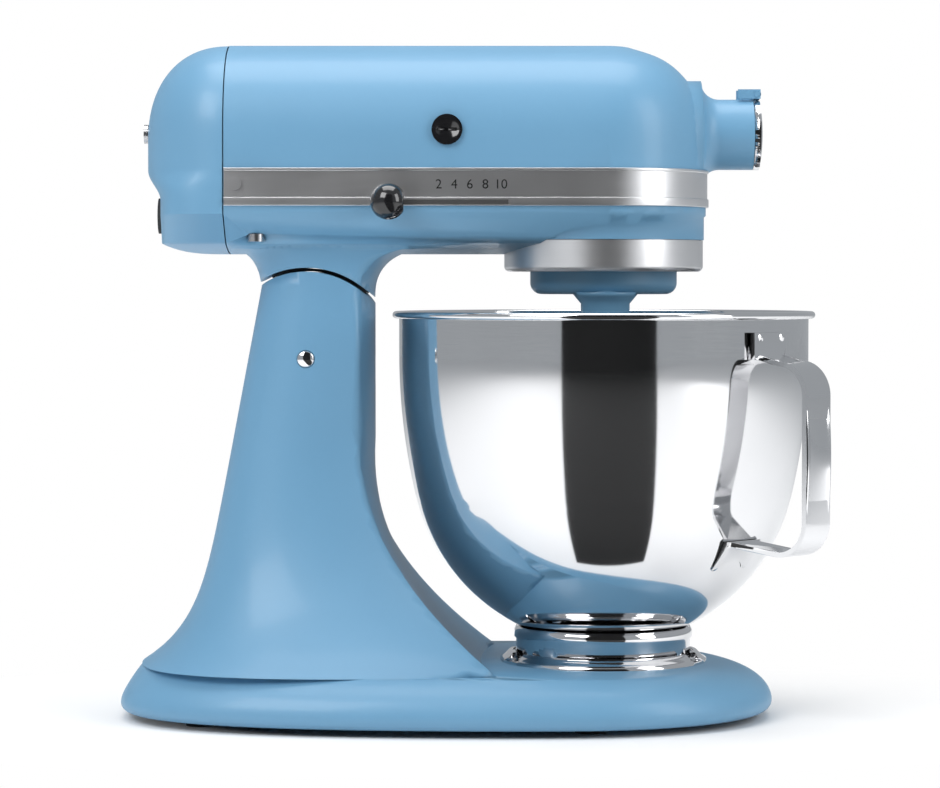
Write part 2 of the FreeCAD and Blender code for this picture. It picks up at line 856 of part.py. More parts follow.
def cover_block(wall, start):
    """The rear cover: a dome above a squarer box, both set in by a wall."""
    dome = dome_block(wall, float(d.cover_reach), True)
    dome.rotate(V(0, 0, 0), UP, 180)
    dome.translate(V(start, 0, 0))
    width = float(d.head_half_width) * 2 + 10
    split = float(d.cover_box_z)
    high = Part.makeBox(100, width, 200, V(start - 100, -width / 2, split))
    reach = float(d.cover_box_reach) - wall
    half = float(d.head_half_width) - wall
    points = []
    for degrees in range(90, 271, 15):
        c, s = superellipse(math.radians(degrees), 3.4)
        points.append(V(start + reach * c, half * s, 200))
    plan = Part.Wire([spline(points), Part.makeLine(points[-1], points[0])])
    prism = Part.Face(plan).extrude(V(0, 0, split + 14 - 200))
    lower = arm_block(wall, start - reach - 5, reach + 5).common(prism)
    return dome.common(high).fuse(lower).removeSplitter()


def make_end_cover():
    """Rear cover, its screw, and the gland that the cord leaves by."""
    start = -float(d.seam_back) - float(d.seam_gap)
    outside = solid("cover_outside", cover_block(0, start))
    inside = solid("cover_inside", cover_block(3, start))
    mouth = solid("cover_mouth", arm_block(3, start - 3, 6))
    end = d.seam_back + d.seam_gap + d.cover_reach
    screw_hole = cylinder("cover_screw_hole", d.column_screw_radius, 30, -end - 5, 0, d.motor_z, "X")
    gland_x = -d.seam_back - d.cover_box_reach
    gland_z = d.head_crease_z
    gland_hole = cylinder("gland_hole", 7, 20, gland_x - 10, 0, gland_z, "X")
    node(cut("end_cover", outside, inside, mouth, screw_hole, gland_hole), "end_cover")
    screw = fuse(
        "end_cover_screw",
        cylinder("cover_screw_head", d.column_screw_radius * 1.7, 2.2, -end - 2.3, 0, d.motor_z, "X"),
        cylinder(
            "cover_screw_shank", d.column_screw_radius - d.running_gap, 20, -end - 0.2, 0, d.motor_z, "X",
        ),
    )
    node(screw, "end_cover_screw")
    gland = cut(
        "cord_gland",
        fuse(
            "gland_body",
            cylinder("gland_flange", 9.5, 2, gland_x - 3.2, 0, gland_z, "X"),
            cylinder("gland_neck", 6.9, 8, gland_x - 1.4, 0, gland_z, "X"),
        ),
        cylinder("gland_bore", 4, 20, gland_x - 5, 0, gland_z, "X"),
    )
    node(gland, "cord_gland")


def band_prism(outset, bottom, height):
    """A strip's outline round the flanks and nose, set out from the casting."""
    half = float(d.head_half_width) + outset
    reach = float(d.nose_reach) + outset
    back = -float(d.seam_back)
    # a half ellipse round the nose, long side across
    oval = Part.Ellipse(V(0, half, bottom), V(reach, 0, bottom), V(0, 0, bottom))
    halves = [Part.ArcOfEllipse(oval, start, start + math.pi).toShape() for start in (0, math.pi)]
    arc = max(halves, key=lambda half_oval: half_oval.CenterOfMass.x)
    ends = sorted((v.Point for v in arc.Vertexes), key=lambda p: p.y)
    sides = [
        Part.makeLine(ends[0], V(back, -half, bottom)),
        Part.makeLine(V(back, -half, bottom), V(back, half, bottom)),
        Part.makeLine(V(back, half, bottom), ends[1]),
    ]
    return Part.Face(Part.Wire(Part.__sortEdges__([arc] + sides))).extrude(V(0, 0, height))


def make_band():
    """Bright trim band with a bead along each edge, and its two end screws."""
    bottom = float(d.band_bottom_z)
    height = float(d.band_height)
    thick = float(d.band_thick)
    bead = thick + float(d.band_bead)
    low = float(d.band_low_bead)
    top = float(d.band_top_bead)
    shape = band_prism(thick, bottom, height)
    shape = shape.fuse([band_prism(bead, bottom, low), band_prism(bead, bottom + height - top, top)])
    outside = solid("band_outside", shape)
    inside = solid("band_inside", band_prism(float(d.band_gap), bottom - 1, height + 2))
    open_slot = box(
        "band_slot", d.slot_length, 20, d.slot_height, d.slot_length / 2 - d.slot_back, -d.head_half_width,
        d.slot_z - d.slot_height / 2,
    )
    reach = d.head_half_width + d.band_thick
    holes = []
    screws = []
    for way in (1, -1):
        x = 6 - d.seam_back
        z = d.band_bottom_z + d.band_height * 0.58
        y = reach * way
        holes.append(cylinder("trim_hole_%d" % way, 2, 4, x, y - 2, z, "Y"))
        screws.append(cylinder("trim_screw_%d" % way, 3.2, 1.6, x, y + 0.8 * way - 0.8, z, "Y"))
    notch = cylinder("band_hub_notch", d.hub_radius + d.band_notch, 30, 40, 0, d.hub_z, "X")
    node(cut("trim_band", outside, inside, open_slot, notch, *holes), "trim_band")
    node(group("trim_screws", *screws), "trim_screws")


def make_speed_lever():
    """Sliding speed lever inside the flank, and the ball that shows outside."""
    x = -d.lever_rest_back
    inner = d.head_half_width - d.head_wall - 1.2
    ball_y = -(d.head_half_width + d.band_thick + d.band_bead + d.ball_radius + 1)
    stem = d.lever_half_width * 2
    reach = -ball_y - inner
    strip = fuse(
        "speed_lever",
        box("lever_strip", 70, 2.4, 8, x - 32, -inner + 1.2, d.slot_z - 3),
        box(
            "lever_stem", stem, reach, d.slot_height - d.clear_gap * 2, x, -inner - reach / 2,
            d.slot_z - d.slot_height / 2 + d.clear_gap,
        ),
    )
    quarters = []
    for i in range(4):
        quarter = Part.makeSphere(float(d.ball_radius), V(0, 0, 0), V(0, 0, 1), -90, 90, 90)
        quarter.rotate(V(0, 0, 0), V(0, 0, 1), 90 * i)
        quarters.append(quarter)
    ball = solid("ball", quarters[0].fuse(quarters[1:]))
    place(ball, x, ball_y, d.slot_z)
    facet = box(
        "ball_facet", d.ball_radius, d.ball_radius * 3, d.ball_radius * 3, x + d.ball_radius * 1.32, ball_y,
        d.slot_z - d.ball_radius * 1.5,
    )
    seat = box(
        "ball_seat", stem + 0.1, reach, d.slot_height - d.clear_gap * 2 + 0.1, x, -inner - reach / 2,
        d.slot_z - d.slot_height / 2 + d.clear_gap - 0.05,
    )
    node(strip, "speed_lever")
    node(cut("speed_knob", ball, facet, seat), "speed_knob")


def make_hub():
    """Attachment hub's bush, hinged cover, cover pin and clamping knob."""
    hub_back = d.hub_front - d.hub_bore_depth
    bush = ring(
        "hub_bush", hub_bush_radius(), d.spindle_radius + d.running_gap, 14, hub_back - 14, 0, d.hub_z, "X",
    )
    node(bush, "hub_bush")
    hinge_z = d.hub_z + d.hub_radius + d.hub_hinge_radius + 1.2
    hinge_x = d.hub_front + d.clear_gap + d.hub_cover_thick / 2
    cap = turned(
        "cover_cap",
        [
            (0, 0),
            (d.hub_radius, 0),
            (d.hub_radius, d.hub_cover_thick),
            (0, d.hub_cover_thick + d.hub_cover_dome, d.hub_radius * 5),
        ],
    )
    place(cap, d.hub_front + d.clear_gap, 0, d.hub_z, TURN["X"])
    tab = box("cover_tab", d.hub_cover_thick, 9, 6, hinge_x, 0, hinge_z - 5)
    eye = cylinder("cover_eye", d.hub_hinge_radius + 1, 9, hinge_x, -4.5, hinge_z, "Y")
    hole = cylinder("cover_hole", d.hub_hinge_radius + d.running_gap, 20, hinge_x, -10, hinge_z, "Y")
    node(cut("hub_cover", fuse("cover_lid", cap, tab, eye), hole), "hub_cover")
    pin = cylinder("cover_pin_rod", d.hub_hinge_radius, 16, hinge_x, -8, hinge_z, "Y")
    ears = []
    for way in (1, -1):
        y = way * 6.3
        ears.append(box("cover_ear_%d" % way, 12, 2.6, 5, hinge_x - 4, y, hinge_z - 2.5))
    node(fuse("hub_cover_hinge", pin, *ears), "hub_cover_hinge")
    knob_x = d.hub_front - d.knob_back_from_front
    start = d.hub_radius + 2
    flutes = []
    for i in range(8):
        angle = FULL * i / 8
        x = knob_x + d.knob_radius * math.cos(angle) * 1.18
        z = d.hub_z + d.knob_radius * math.sin(angle) * 1.18
        flutes.append(
            cylinder("knob_flute_%d" % i, d.knob_radius * 0.3, d.knob_length + 2, x, start - 1, z, "Y"),
        )
    grip = cut(
        "knob_grip", cylinder("knob_round", d.knob_radius, d.knob_length, knob_x, start, d.hub_z, "Y"),
        *flutes,
    )
    stem = cylinder(
        "knob_screw", d.knob_screw_radius, start - d.hub_bore_radius, knob_x, d.hub_bore_radius + 0.2,
        d.hub_z, "Y",
    )
    node(fuse("attachment_knob", grip, stem), "attachment_knob")


# Gears: involute flanks worked out from teeth and module.
def involute(angle):
    """The involute of a pressure angle."""
    return math.tan(angle) - angle


def gear_wire(teeth, module, play, tip=1.0, root=1.2, phase=0.0, z=0.0):
    """A gear's outline; play thins each tooth at the pitch circle."""
    pitch = module * teeth / 2
    base = pitch * math.cos(math.radians(20))
    high = pitch + tip * module
    low = pitch - root * module
    half_pitch = math.pi / (2 * teeth) - play / (2 * pitch) + involute(math.radians(20))
    radii = [low + (high - low) * share for share in (0, 0.35, 0.7, 1)]
    flank = [(r, half_pitch - involute(math.acos(min(base / r, 1)))) for r in radii]
    points = []
    for i in range(teeth):
        middle = phase + FULL * i / teeth
        for r, half in flank:
            points.append(V(r * math.cos(middle - half), r * math.sin(middle - half), z))
        for r, half in reversed(flank):
            points.append(V(r * math.cos(middle + half), r * math.sin(middle + half), z))
    return Part.makePolygon(points + points[:1])


def spur_gear(teeth, module, height, bore, phase):
    """A plain gear on the XY plane."""
    blank = Part.Face(gear_wire(teeth, module, 0.3, 0.9, 1.2, phase)).extrude(V(0, 0, height))
    return blank.cut(Part.makeCylinder(bore, height))


def bevel_gear(teeth, radius, face, bore, phase):
    """A bevel gear whose axis is Z and whose apex is the origin; it lies below the apex."""
    module = 2 * radius / teeth
    share = 1 - face / radius
    large = gear_wire(teeth, module, 0.5, 0.6, 1.2, phase)
    small = large.copy()
    small.scale(share)
    large.translate(V(0, 0, -radius))
    small.translate(V(0, 0, -radius * share))
    body = Part.makeLoft([large, small], True, True)
    return body.cut(Part.makeCylinder(bore, radius, V(0, 0, -radius)))


def orbit_radius():
    """Distance from the centre shaft to the agitator shaft."""
    return (float(d.ring_teeth) - float(d.planet_teeth)) * float(d.gear_module) / 2


def train_distance():
    """Distance from the centre shaft to the drive pinion's shaft."""
    return (float(d.centre_teeth) + float(d.pinion_teeth)) * float(d.train_module) / 2


def worm_distance():
    """Distance from the worm's axis to the worm wheel's axis."""
    return float(d.worm_radius) + float(d.worm_teeth) * float(d.train_module) / 2


def wheel_place():
    """Where the worm wheel's shaft stands beside the worm."""
    side = worm_distance()
    return -math.sqrt(train_distance() ** 2 - side ** 2), side


def make_gearcase():
    """Lower gearcase, its bush and screws, ring gear and drip ring."""
    low = d.boss_bottom_z - 1
    skirt = d.drip_ring_radius - d.drip_ring_wall - d.clear_gap
    plate = fuse(
        "gearcase_body",
        cylinder("gearcase_plate", d.gearcase_radius, d.gearcase_thick, 0, 0, low),
        ring("gearcase_skirt", skirt, d.ring_outer_radius + 5, 9, 0, 0, low - 9),
    )
    bush_outer = d.shaft_radius + d.running_gap + d.bush_wall
    hole = cylinder("gearcase_bore", bush_outer + d.running_gap, d.gearcase_thick + 4, 0, 0, low - 2)
    screws = []
    holes = []
    for i in range(5):
        angle = math.radians(36 + 72 * i)
        x, y = 38 * math.cos(angle), 38 * math.sin(angle)
        holes.append(
            cylinder("gearcase_tap_%d" % i, 2.5 + d.running_gap, d.gearcase_thick + 4, x, y, low - 2),
        )
        holes.append(
            cylinder("gearcase_sink_%d" % i, d.screw_head_radius + d.running_gap, 4.6, x, y, low - 2),
        )
        screws.append(
            fuse(
                "gearcase_screw_%d" % i,
                cylinder("gearcase_screw_head_%d" % i, d.screw_head_radius, 2.4, x, y, low + 0.2),
                cylinder("gearcase_screw_shank_%d" % i, 2.5, d.gearcase_thick - 3, x, y, low + 2.6),
            )
        )
    node(cut("lower_gearcase", plate, hole, *holes), "lower_gearcase")
    node(group("gearcase_screws", *screws), "gearcase_screws")
    node(
        ring("centre_bush", bush_outer, d.shaft_radius + d.running_gap, d.gearcase_thick, 0, 0, low),
        "centre_bush",
    )
    teeth, module = int(float(d.ring_teeth)), float(d.gear_module)
    height = float(d.ring_gear_height)
    cutter = Part.Face(gear_wire(teeth, module, -0.3, 1.2, 0.9)).extrude(V(0, 0, height))
    rim = Part.makeCylinder(float(d.ring_outer_radius), height).cut(cutter)
    carrier = Part.makeCylinder(float(d.ring_outer_radius) + 5 - float(d.running_gap), 4, V(0, 0, height - 4))
    rim = rim.fuse(carrier.cut(Part.makeCylinder(float(d.ring_outer_radius) - 1, 4, V(0, 0, height - 4))))
    node(solid("ring_gear", rim.removeSplitter()), "ring_gear", z=low - d.ring_gear_height)
    outer, wall = d.drip_ring_radius, d.drip_ring_wall
    base = d.boss_bottom_z - d.clear_gap - d.drip_ring_height
    lip = d.ring_outer_radius + 5.5
    node(
        turned(
            "drip_ring",
            [
                (outer - wall, d.boss_bottom_z - d.clear_gap),
                (outer - wall, base + wall * 2),
                (outer - wall * 2, base + wall, -wall),
                (lip, base + wall),
                (lip, base),
                (outer - wall * 2, base),
                (outer, base + wall * 2, wall * 2),
                (outer, d.boss_bottom_z - d.clear_gap),
            ],
        ),
        "drip_ring",
    )


def make_planetary():
    """Planetary hub on the centre shaft, with the agitator that it carries round."""
    orbit = Size(orbit_radius(), "((dims.ring_teeth - dims.planet_teeth) * dims.gear_module / 2)")
    bottom = d.planetary_bottom_z
    top = bottom + d.planetary_height
    hub = turned(
        "planetary_body",
        [
            (0, bottom),
            (d.planetary_radius - d.planetary_round, bottom),
            (d.planetary_radius, bottom + d.planetary_round, d.planetary_round),
            (d.planetary_radius, top),
            (0, top),
        ],
    )
    drop = d.agitator_boss_drop
    boss = cylinder("agitator_boss", d.agitator_boss_radius, drop + 3, 0, -orbit, bottom - drop)
    spread = cone(
        "agitator_spread", d.agitator_boss_radius, d.agitator_boss_radius + 5, 6, 0, -orbit, bottom - 5,
    )
    long_hole = cylinder("agitator_bore", d.shaft_radius + d.running_gap, 80, 0, -orbit, bottom - 30)
    shaft_hole = cylinder("centre_bore", d.shaft_radius, 60, 0, 0, bottom + 4)
    node(
        cut("planetary_hub", fuse("planetary_solid", hub, boss, spread), long_hole, shaft_hole),
        "planetary_hub",
    )
    gear_z = d.boss_bottom_z - 1 + d.gearcase_thick + 1.5
    bevel_z = d.hub_z - d.bevel_radius
    shaft_top = bevel_z + 4
    node(cylinder("centre_shaft", d.shaft_radius, shaft_top - bottom - 4, 0, 0, bottom + 4), "centre_shaft")
    aim = math.atan2(wheel_place()[1], wheel_place()[0])
    height = float(d.train_gear_height)
    gear = spur_gear(int(float(d.centre_teeth)), float(d.train_module), height, float(d.shaft_radius), aim)
    node(solid("centre_gear", gear), "centre_gear", z=gear_z)
    bevel = bevel_gear(
        int(float(d.bevel_teeth)), float(d.bevel_radius), float(d.bevel_face), float(d.shaft_radius), 0,
    )
    collar = Part.makeCylinder(9.5, 8, V(0, 0, -float(d.bevel_radius) - 8))
    bevel = bevel.fuse(
        collar.cut(Part.makeCylinder(float(d.shaft_radius), 8, V(0, 0, -float(d.bevel_radius) - 8))),
    )
    node(solid("centre_bevel", bevel), "centre_bevel", z=d.hub_z)
    planet_top = d.boss_bottom_z - 1 - 1
    planet_height = d.ring_gear_height - 1.5
    agitator = cut(
        "agitator_rod",
        cylinder(
            "agitator_round", d.shaft_radius, planet_top - d.agitator_end_z, 0, -orbit, d.agitator_end_z,
        ),
        cylinder("cross_hole", d.cross_pin_radius, 60, 0, -orbit - 30, d.cross_pin_z, "Y"),
    )
    node(agitator, "agitator_shaft")
    length = d.cross_pin_half_length * 2
    node(
        cylinder("cross_pin", d.cross_pin_radius, length, 0, -orbit - length / 2, d.cross_pin_z, "Y"),
        "cross_pin",
    )
    teeth = int(float(d.planet_teeth))
    phase = -math.pi / 2
    planet = spur_gear(teeth, float(d.gear_module), float(planet_height), float(d.shaft_radius), phase)
    node(solid("planet_pinion", planet), "planet_pinion", y=-orbit, z=planet_top - planet_height)
    return orbit


def make_beater(orbit):
    """Flat beater: a leaf-shaped frame with cross bars, hung on the agitator shaft."""
    top, low, half = d.beater_top_z, d.beater_bottom_z, d.beater_half_width
    sleeve = d.beater_sleeve_radius
    shoulder = top - 28
    waist = low + 42
    rim = d.beater_rim
    outer = padded(
        "beater_leaf",
        "XZ_Plane",
        [
            (-sleeve, top - 12),
            (-half, shoulder - 18, 60),
            (-half + 4, waist),
            (-16, low, 70),
            (16, low),
            (half - 4, waist, 70),
            (half, shoulder - 18),
            (sleeve, top - 12, 60),
        ],
        d.beater_thick,
    )
    gaps = []
    for i, way in enumerate((1, -1)):
        for j, (z_low, z_high, wide_low, wide_high) in enumerate(
            (
                (low + rim, waist - 2, 12, half - rim - 9),
                (waist + rim - 2, waist + 40, half - rim - 5, half - rim),
                (waist + 40 + rim, shoulder - 8, half - rim, half - rim - 22),
            )
        ):
            near = way * rim / 2
            gaps.append(
                padded(
                    "beater_gap_%d%d" % (i, j),
                    "XZ_Plane",
                    [(near, z_low), (way * wide_low, z_low), (way * wide_high, z_high), (near, z_high)],
                    d.beater_thick * 2,
                )
            )
    tube = cylinder("beater_sleeve", sleeve, 30, 0, 0, top - 30)
    bore = cylinder("beater_bore", d.shaft_radius + d.running_gap, 60, 0, 0, d.agitator_end_z - 1)
    slot = box(
        "beater_notch", d.cross_pin_radius * 2 + 0.2, 40, top - d.cross_pin_z + d.cross_pin_radius + 1, 0,
        0, d.cross_pin_z - d.cross_pin_radius - 0.1,
    )
    leaf = cut("beater_frame", outer, *gaps)
    node(cut("flat_beater", fuse("beater_solid", leaf, tube), bore, slot), "flat_beater", y=-orbit)


def make_worm_drive():
    """Worm wheel and drive pinion on their upright shaft."""
    x, y = wheel_place()
    gear_z = d.boss_bottom_z - 1 + d.gearcase_thick + 1.5
    bottom = d.boss_bottom_z - 1 + d.gearcase_thick + d.clear_gap
    shaft = 5.0
    top = float(d.motor_z) + float(d.wheel_height) / 2 + 4
    node(cylinder("wheel_shaft", shaft, top - bottom, x, y, bottom), "wheel_shaft")
    teeth = int(float(d.pinion_teeth))
    phase = math.atan2(-y, -x) + math.pi / teeth
    pinion = spur_gear(teeth, float(d.train_module), float(d.train_gear_height), shaft, phase)
    node(solid("drive_pinion", pinion), "drive_pinion", x=x, y=y, z=gear_z)
    teeth = int(float(d.worm_teeth))
    module = float(d.train_module)
    height = float(d.wheel_height)
    lead_slope = float(d.worm_starts) * module / (2 * float(d.worm_radius))
    twist = height / 2 * lead_slope / (teeth * module / 2)
    low = gear_wire(teeth, module, 0.9, 0.75, 1.2, -math.pi / 2 - twist, -height / 2)
    high = gear_wire(teeth, module, 0.9, 0.75, 1.2, -math.pi / 2 + twist, height / 2)
    wheel = Part.makeLoft([low, high], True, True).cut(Part.makeCylinder(shaft, height, V(0, 0, -height / 2)))
    node(solid("worm_wheel", wheel), "worm_wheel", x=x, y=y, z=d.motor_z)


def worm_screw():
    """The worm: a section with one lobe for each start, carried along X and twisted by its lead."""
    module, starts = float(d.train_module), int(float(d.worm_starts))
    pitch_radius, length = float(d.worm_radius), float(d.worm_length)
    lead = math.pi * module * starts
    low, high = pitch_radius - 1.15 * module, pitch_radius + 0.75 * module
    root, tip = 2.5 / lead * FULL / 2, 1.0 / lead * FULL / 2
    edges = []
    for i in range(starts):
        middle = FULL * (i + 0.5) / starts
        after = FULL * (i + 1.5) / starts

        def at(radius, angle):
            return V(0, radius * math.cos(angle), radius * math.sin(angle))

        edges.append(Part.makeLine(at(low, middle - root), at(high, middle - tip)))
        edges.append(Part.Arc(at(high, middle - tip), at(high, middle), at(high, middle + tip)).toShape())
        edges.append(Part.makeLine(at(high, middle + tip), at(low, middle + root)))
        edges.append(
            Part.Arc(at(low, middle + root), at(low, (middle + after) / 2), at(low, after - root)).toShape()
        )
    section = Part.Wire(edges)
    spine = Part.Wire(Part.makeLine(V(0, 0, 0), V(length, 0, 0)))
    guide = Part.makeHelix(lead, length, pitch_radius)
    guide.rotate(V(0, 0, 0), V(0, 1, 0), 90)
    sweep = Part.BRepOffsetAPI.MakePipeShell(spine)
    sweep.setAuxiliarySpine(Part.Wire(guide.Edges), True, 0)
    sweep.add(section)
    sweep.build()
    sweep.makeSolid()
    return sweep.shape()


def make_hub_drive():
    """Hub bevel gear and the spindle with its square socket."""
    teeth = int(float(d.bevel_teeth))
    bevel = bevel_gear(teeth, float(d.bevel_radius), float(d.bevel_face), 5.0, math.pi + math.pi / teeth)
    bevel.rotate(V(0, 0, 0), V(0, 1, 0), -90)
    node(solid("hub_bevel", bevel), "hub_bevel", z=d.hub_z)
    start = d.bevel_radius + 0.2
    end = d.hub_front - d.hub_bore_depth + 8
    square = d.spindle_square * 2
    body = fuse(
        "spindle_solid",
        cylinder("spindle_round", d.spindle_radius, end - start, start, 0, d.hub_z, "X"),
        cylinder(
            "spindle_nose", 5 - d.running_gap, d.bevel_face, start - d.bevel_face + 0.2, 0, d.hub_z, "X",
        ),
    )
    socket = box("spindle_socket", 16, square * 0.72, square * 0.72, end - 8, 0, d.hub_z - square * 0.36)
    node(cut("hub_spindle", body, socket), "hub_spindle")


def make_motor():
    """Motor: stator, armature with its worm, commutator, brushes, fan and bearings."""
    z = d.motor_z
    stator = ring("stator", d.stator_radius, d.stator_bore, d.stator_length, -d.stator_back, 0, z, "X")
    node(stator, "stator")
    worm_start = wheel_place()[0] - float(d.worm_length) / 2
    screw = worm_screw()
    screw.translate(V(worm_start, 0, float(z)))
    rod_start = -d.fan_back - d.bearing_length - 6
    rod = cylinder("armature_rod", d.motor_shaft_radius, -rod_start + worm_start + 0.5, rod_start, 0, z, "X")
    node(fuse("armature_shaft", rod, solid("worm", screw)), "armature_shaft")
    core = ring("core", d.core_radius, d.motor_shaft_radius, d.stator_length, -d.stator_back, 0, z, "X")
    slots = []
    for i in range(12):
        angle = FULL * i / 12
        y = d.core_radius * math.cos(angle)
        height = z + d.core_radius * math.sin(angle)
        slots.append(
            cylinder("core_slot_%d" % i, 2.2, d.stator_length + 2, -d.stator_back - 1, y, height, "X"),
        )
    node(cut("armature_core", core, *slots), "armature_core")
    start = -d.brush_back - d.commutator_length / 2
    node(
        ring("commutator", d.commutator_radius, d.motor_shaft_radius, d.commutator_length, start, 0, z, "X"),
        "commutator",
    )
    blades = []
    for i in range(9):
        blade = Part.makeBox(float(d.fan_thick) - 2, float(d.fan_radius) - 9, 1.6, V(0, 8, -0.8))
        blade.rotate(V(0, 0, 0), V(1, 0, 0), 40 * i)
        blades.append(blade)
    disc = Part.makeCylinder(float(d.fan_radius), 2, V(float(d.fan_thick) - 2, 0, 0), V(1, 0, 0))
    hub = Part.makeCylinder(9, float(d.fan_thick), V(0, 0, 0), V(1, 0, 0))
    fan = disc.fuse(blades + [hub]).cut(
        Part.makeCylinder(float(d.motor_shaft_radius), 40, V(-5, 0, 0), V(1, 0, 0)),
    )
    node(solid("cooling_fan", fan.removeSplitter()), "cooling_fan", x=-d.fan_back, z=z)
    rear_x = -d.fan_back - 2 - d.bearing_length
    front_x = -d.brush_back + d.commutator_length / 2 + 2
    inner = d.motor_shaft_radius + d.running_gap
    bearings = [
        ring("rear_bearing", d.bearing_radius, inner, d.bearing_length, rear_x, 0, z, "X"),
        ring("front_bearing", d.bearing_radius, inner, d.bearing_length, front_x, 0, z, "X"),
    ]
    node(group("motor_bearings", *bearings), "motor_bearings")
    brackets = []
    inside = float(d.head_wall) + float(d.clear_gap)
    for name, x in (("rear", rear_x), ("front", front_x)):
        blank = arm_block(inside, 0, float(d.bracket_thick))
        bar = Part.makeBox(20, 32, 300, V(-5, -16, 150))
        plate = solid(name + "_bracket_blank", blank.common(bar))
        place(plate, x + 1.5, 0, 0)
        seat = cylinder(name + "_bracket_seat", d.bearing_radius + d.running_gap, 40, x - 10, 0, z, "X")
        brackets.append(cut(name + "_bracket", plate, seat))
    node(group("bearing_brackets", *brackets), "bearing_brackets")
    holders = []
    brushes = []
    caps = []
    inner_y = d.commutator_radius + 3
    outer_y = d.head_half_width - d.head_wall - d.clear_gap
    x = -d.brush_back
    wide = d.brush_half_width * 2
    for way in (1, -1):
        tag = "far" if way > 0 else "near"
        length = outer_y - inner_y
        tube = box(
            tag + "_holder_out", wide + 3, length, wide + 3, x, way * (inner_y + length / 2),
            z - wide / 2 - 1.5,
        )
        hole = box(tag + "_holder_in", wide, length + 2, wide, x, way * (inner_y + length / 2), z - wide / 2)
        holders.append(cut(tag + "_holder", tube, hole))
        start = d.commutator_radius + d.clear_gap
        brushes.append(
            box(tag + "_brush", wide - 0.2, 18, wide - 0.2, x, way * (start + 9), z - wide / 2 + 0.1)
        )
        cap_length = d.head_wall + 2
        cap_y = outer_y + d.clear_gap if way > 0 else -(outer_y + d.clear_gap) - cap_length
        cap = cylinder(tag + "_cap_round", d.brush_cap_radius, cap_length, x, cap_y, z, "Y")
        face = (outer_y + d.clear_gap + cap_length) * way
        groove = box(tag + "_cap_groove", d.brush_cap_radius * 1.3, 2.4, 1.8, x, face, z - 0.9)
        caps.append(cut(tag + "_cap", cap, groove))
    node(group("brush_holders", *holders), "brush_holders")
    node(group("carbon_brushes", *brushes), "carbon_brushes")
    node(group("brush_caps", *caps), "brush_caps")
    board_x = rear_x - 6
    node(box("control_board", 1.8, 70, 30, board_x - 12, 0, z + 4), "control_board")


# Bowl: a ball-shaped bottom that runs up into a nearly straight side with a rolled rim.
def bowl_bottom(wall):
    """Height of the bowl's flat bottom, outside or above its wall."""
    ball, flat = d.bowl_ball_radius - wall, d.bowl_flat_radius
    text = "(dims.bowl_ball_z - sqrt(%s ^ 2 - %s ^ 2))" % (ball.text, flat.text)
    return Size(float(d.bowl_ball_z) - math.sqrt(float(ball) ** 2 - float(flat) ** 2), text)


def foot_top():
    """Height at which the bowl's foot meets the round underside of the bowl."""
    reach = "sqrt(dims.bowl_ball_radius ^ 2 - dims.bowl_foot_radius ^ 2)"
    drop = math.sqrt(float(d.bowl_ball_radius) ** 2 - float(d.bowl_foot_radius) ** 2)
    return d.bowl_ball_z - Size(drop, reach) - d.bowl_foot_gap


def make_bowl():
    """Mixing bowl, its foot, and the strap handle welded to its side."""
    wall = d.bowl_wall
    low = bowl_bottom(0)
    floor = bowl_bottom(wall)
    flat = d.bowl_flat_radius
    bead = d.bowl_bead_radius
    rim = d.bowl_rim_z
    node(
        turned(
            "bowl",
            [
                (0, low),
                (flat, low),
                (d.bowl_knee_radius, d.bowl_knee_z, d.bowl_ball_radius),
                (d.bowl_radius, d.bowl_straight_z, d.bowl_side_curve),
                (d.bowl_radius, rim),
                (d.bowl_radius + bead, rim),
                (d.bowl_radius + bead, rim + bead * 2, bead * 1.05),
                (d.bowl_radius - wall, rim + bead * 2),
                (d.bowl_radius - wall, d.bowl_straight_z),
                (d.bowl_knee_radius - wall, d.bowl_knee_z, wall - d.bowl_side_curve),
                (flat, floor, wall - d.bowl_ball_radius),
                (0, floor),
            ],
        ),
        "bowl",
    )
    radius, thin = d.bowl_foot_radius, d.bowl_foot_wall
    seat = d.deck_z + d.plate_thick + d.clear_gap
    top = foot_top()
    foot = turned(
        "foot_ring",
        [
            (radius - thin, seat),
            (radius, seat),
            (radius, top - 7),
            (radius + 1.2, top - 5.5),
            (radius + 1.2, top - 2),
            (radius, top),
            (radius - thin, top),
        ],
    )
    lugs = []
    for i, degrees in enumerate(NOTCH_ANGLES):
        lug = Part.makeBox(3.6, 9, 1.2, V(float(radius) - 1, -4.5, float(seat)))
        lug.rotate(V(0, 0, 0), UP, degrees + LUG_TURN)
        lugs.append(solid("foot_lug_%d" % i, lug))
    node(fuse("bowl_foot", foot, *lugs), "bowl_foot")
    make_handle()


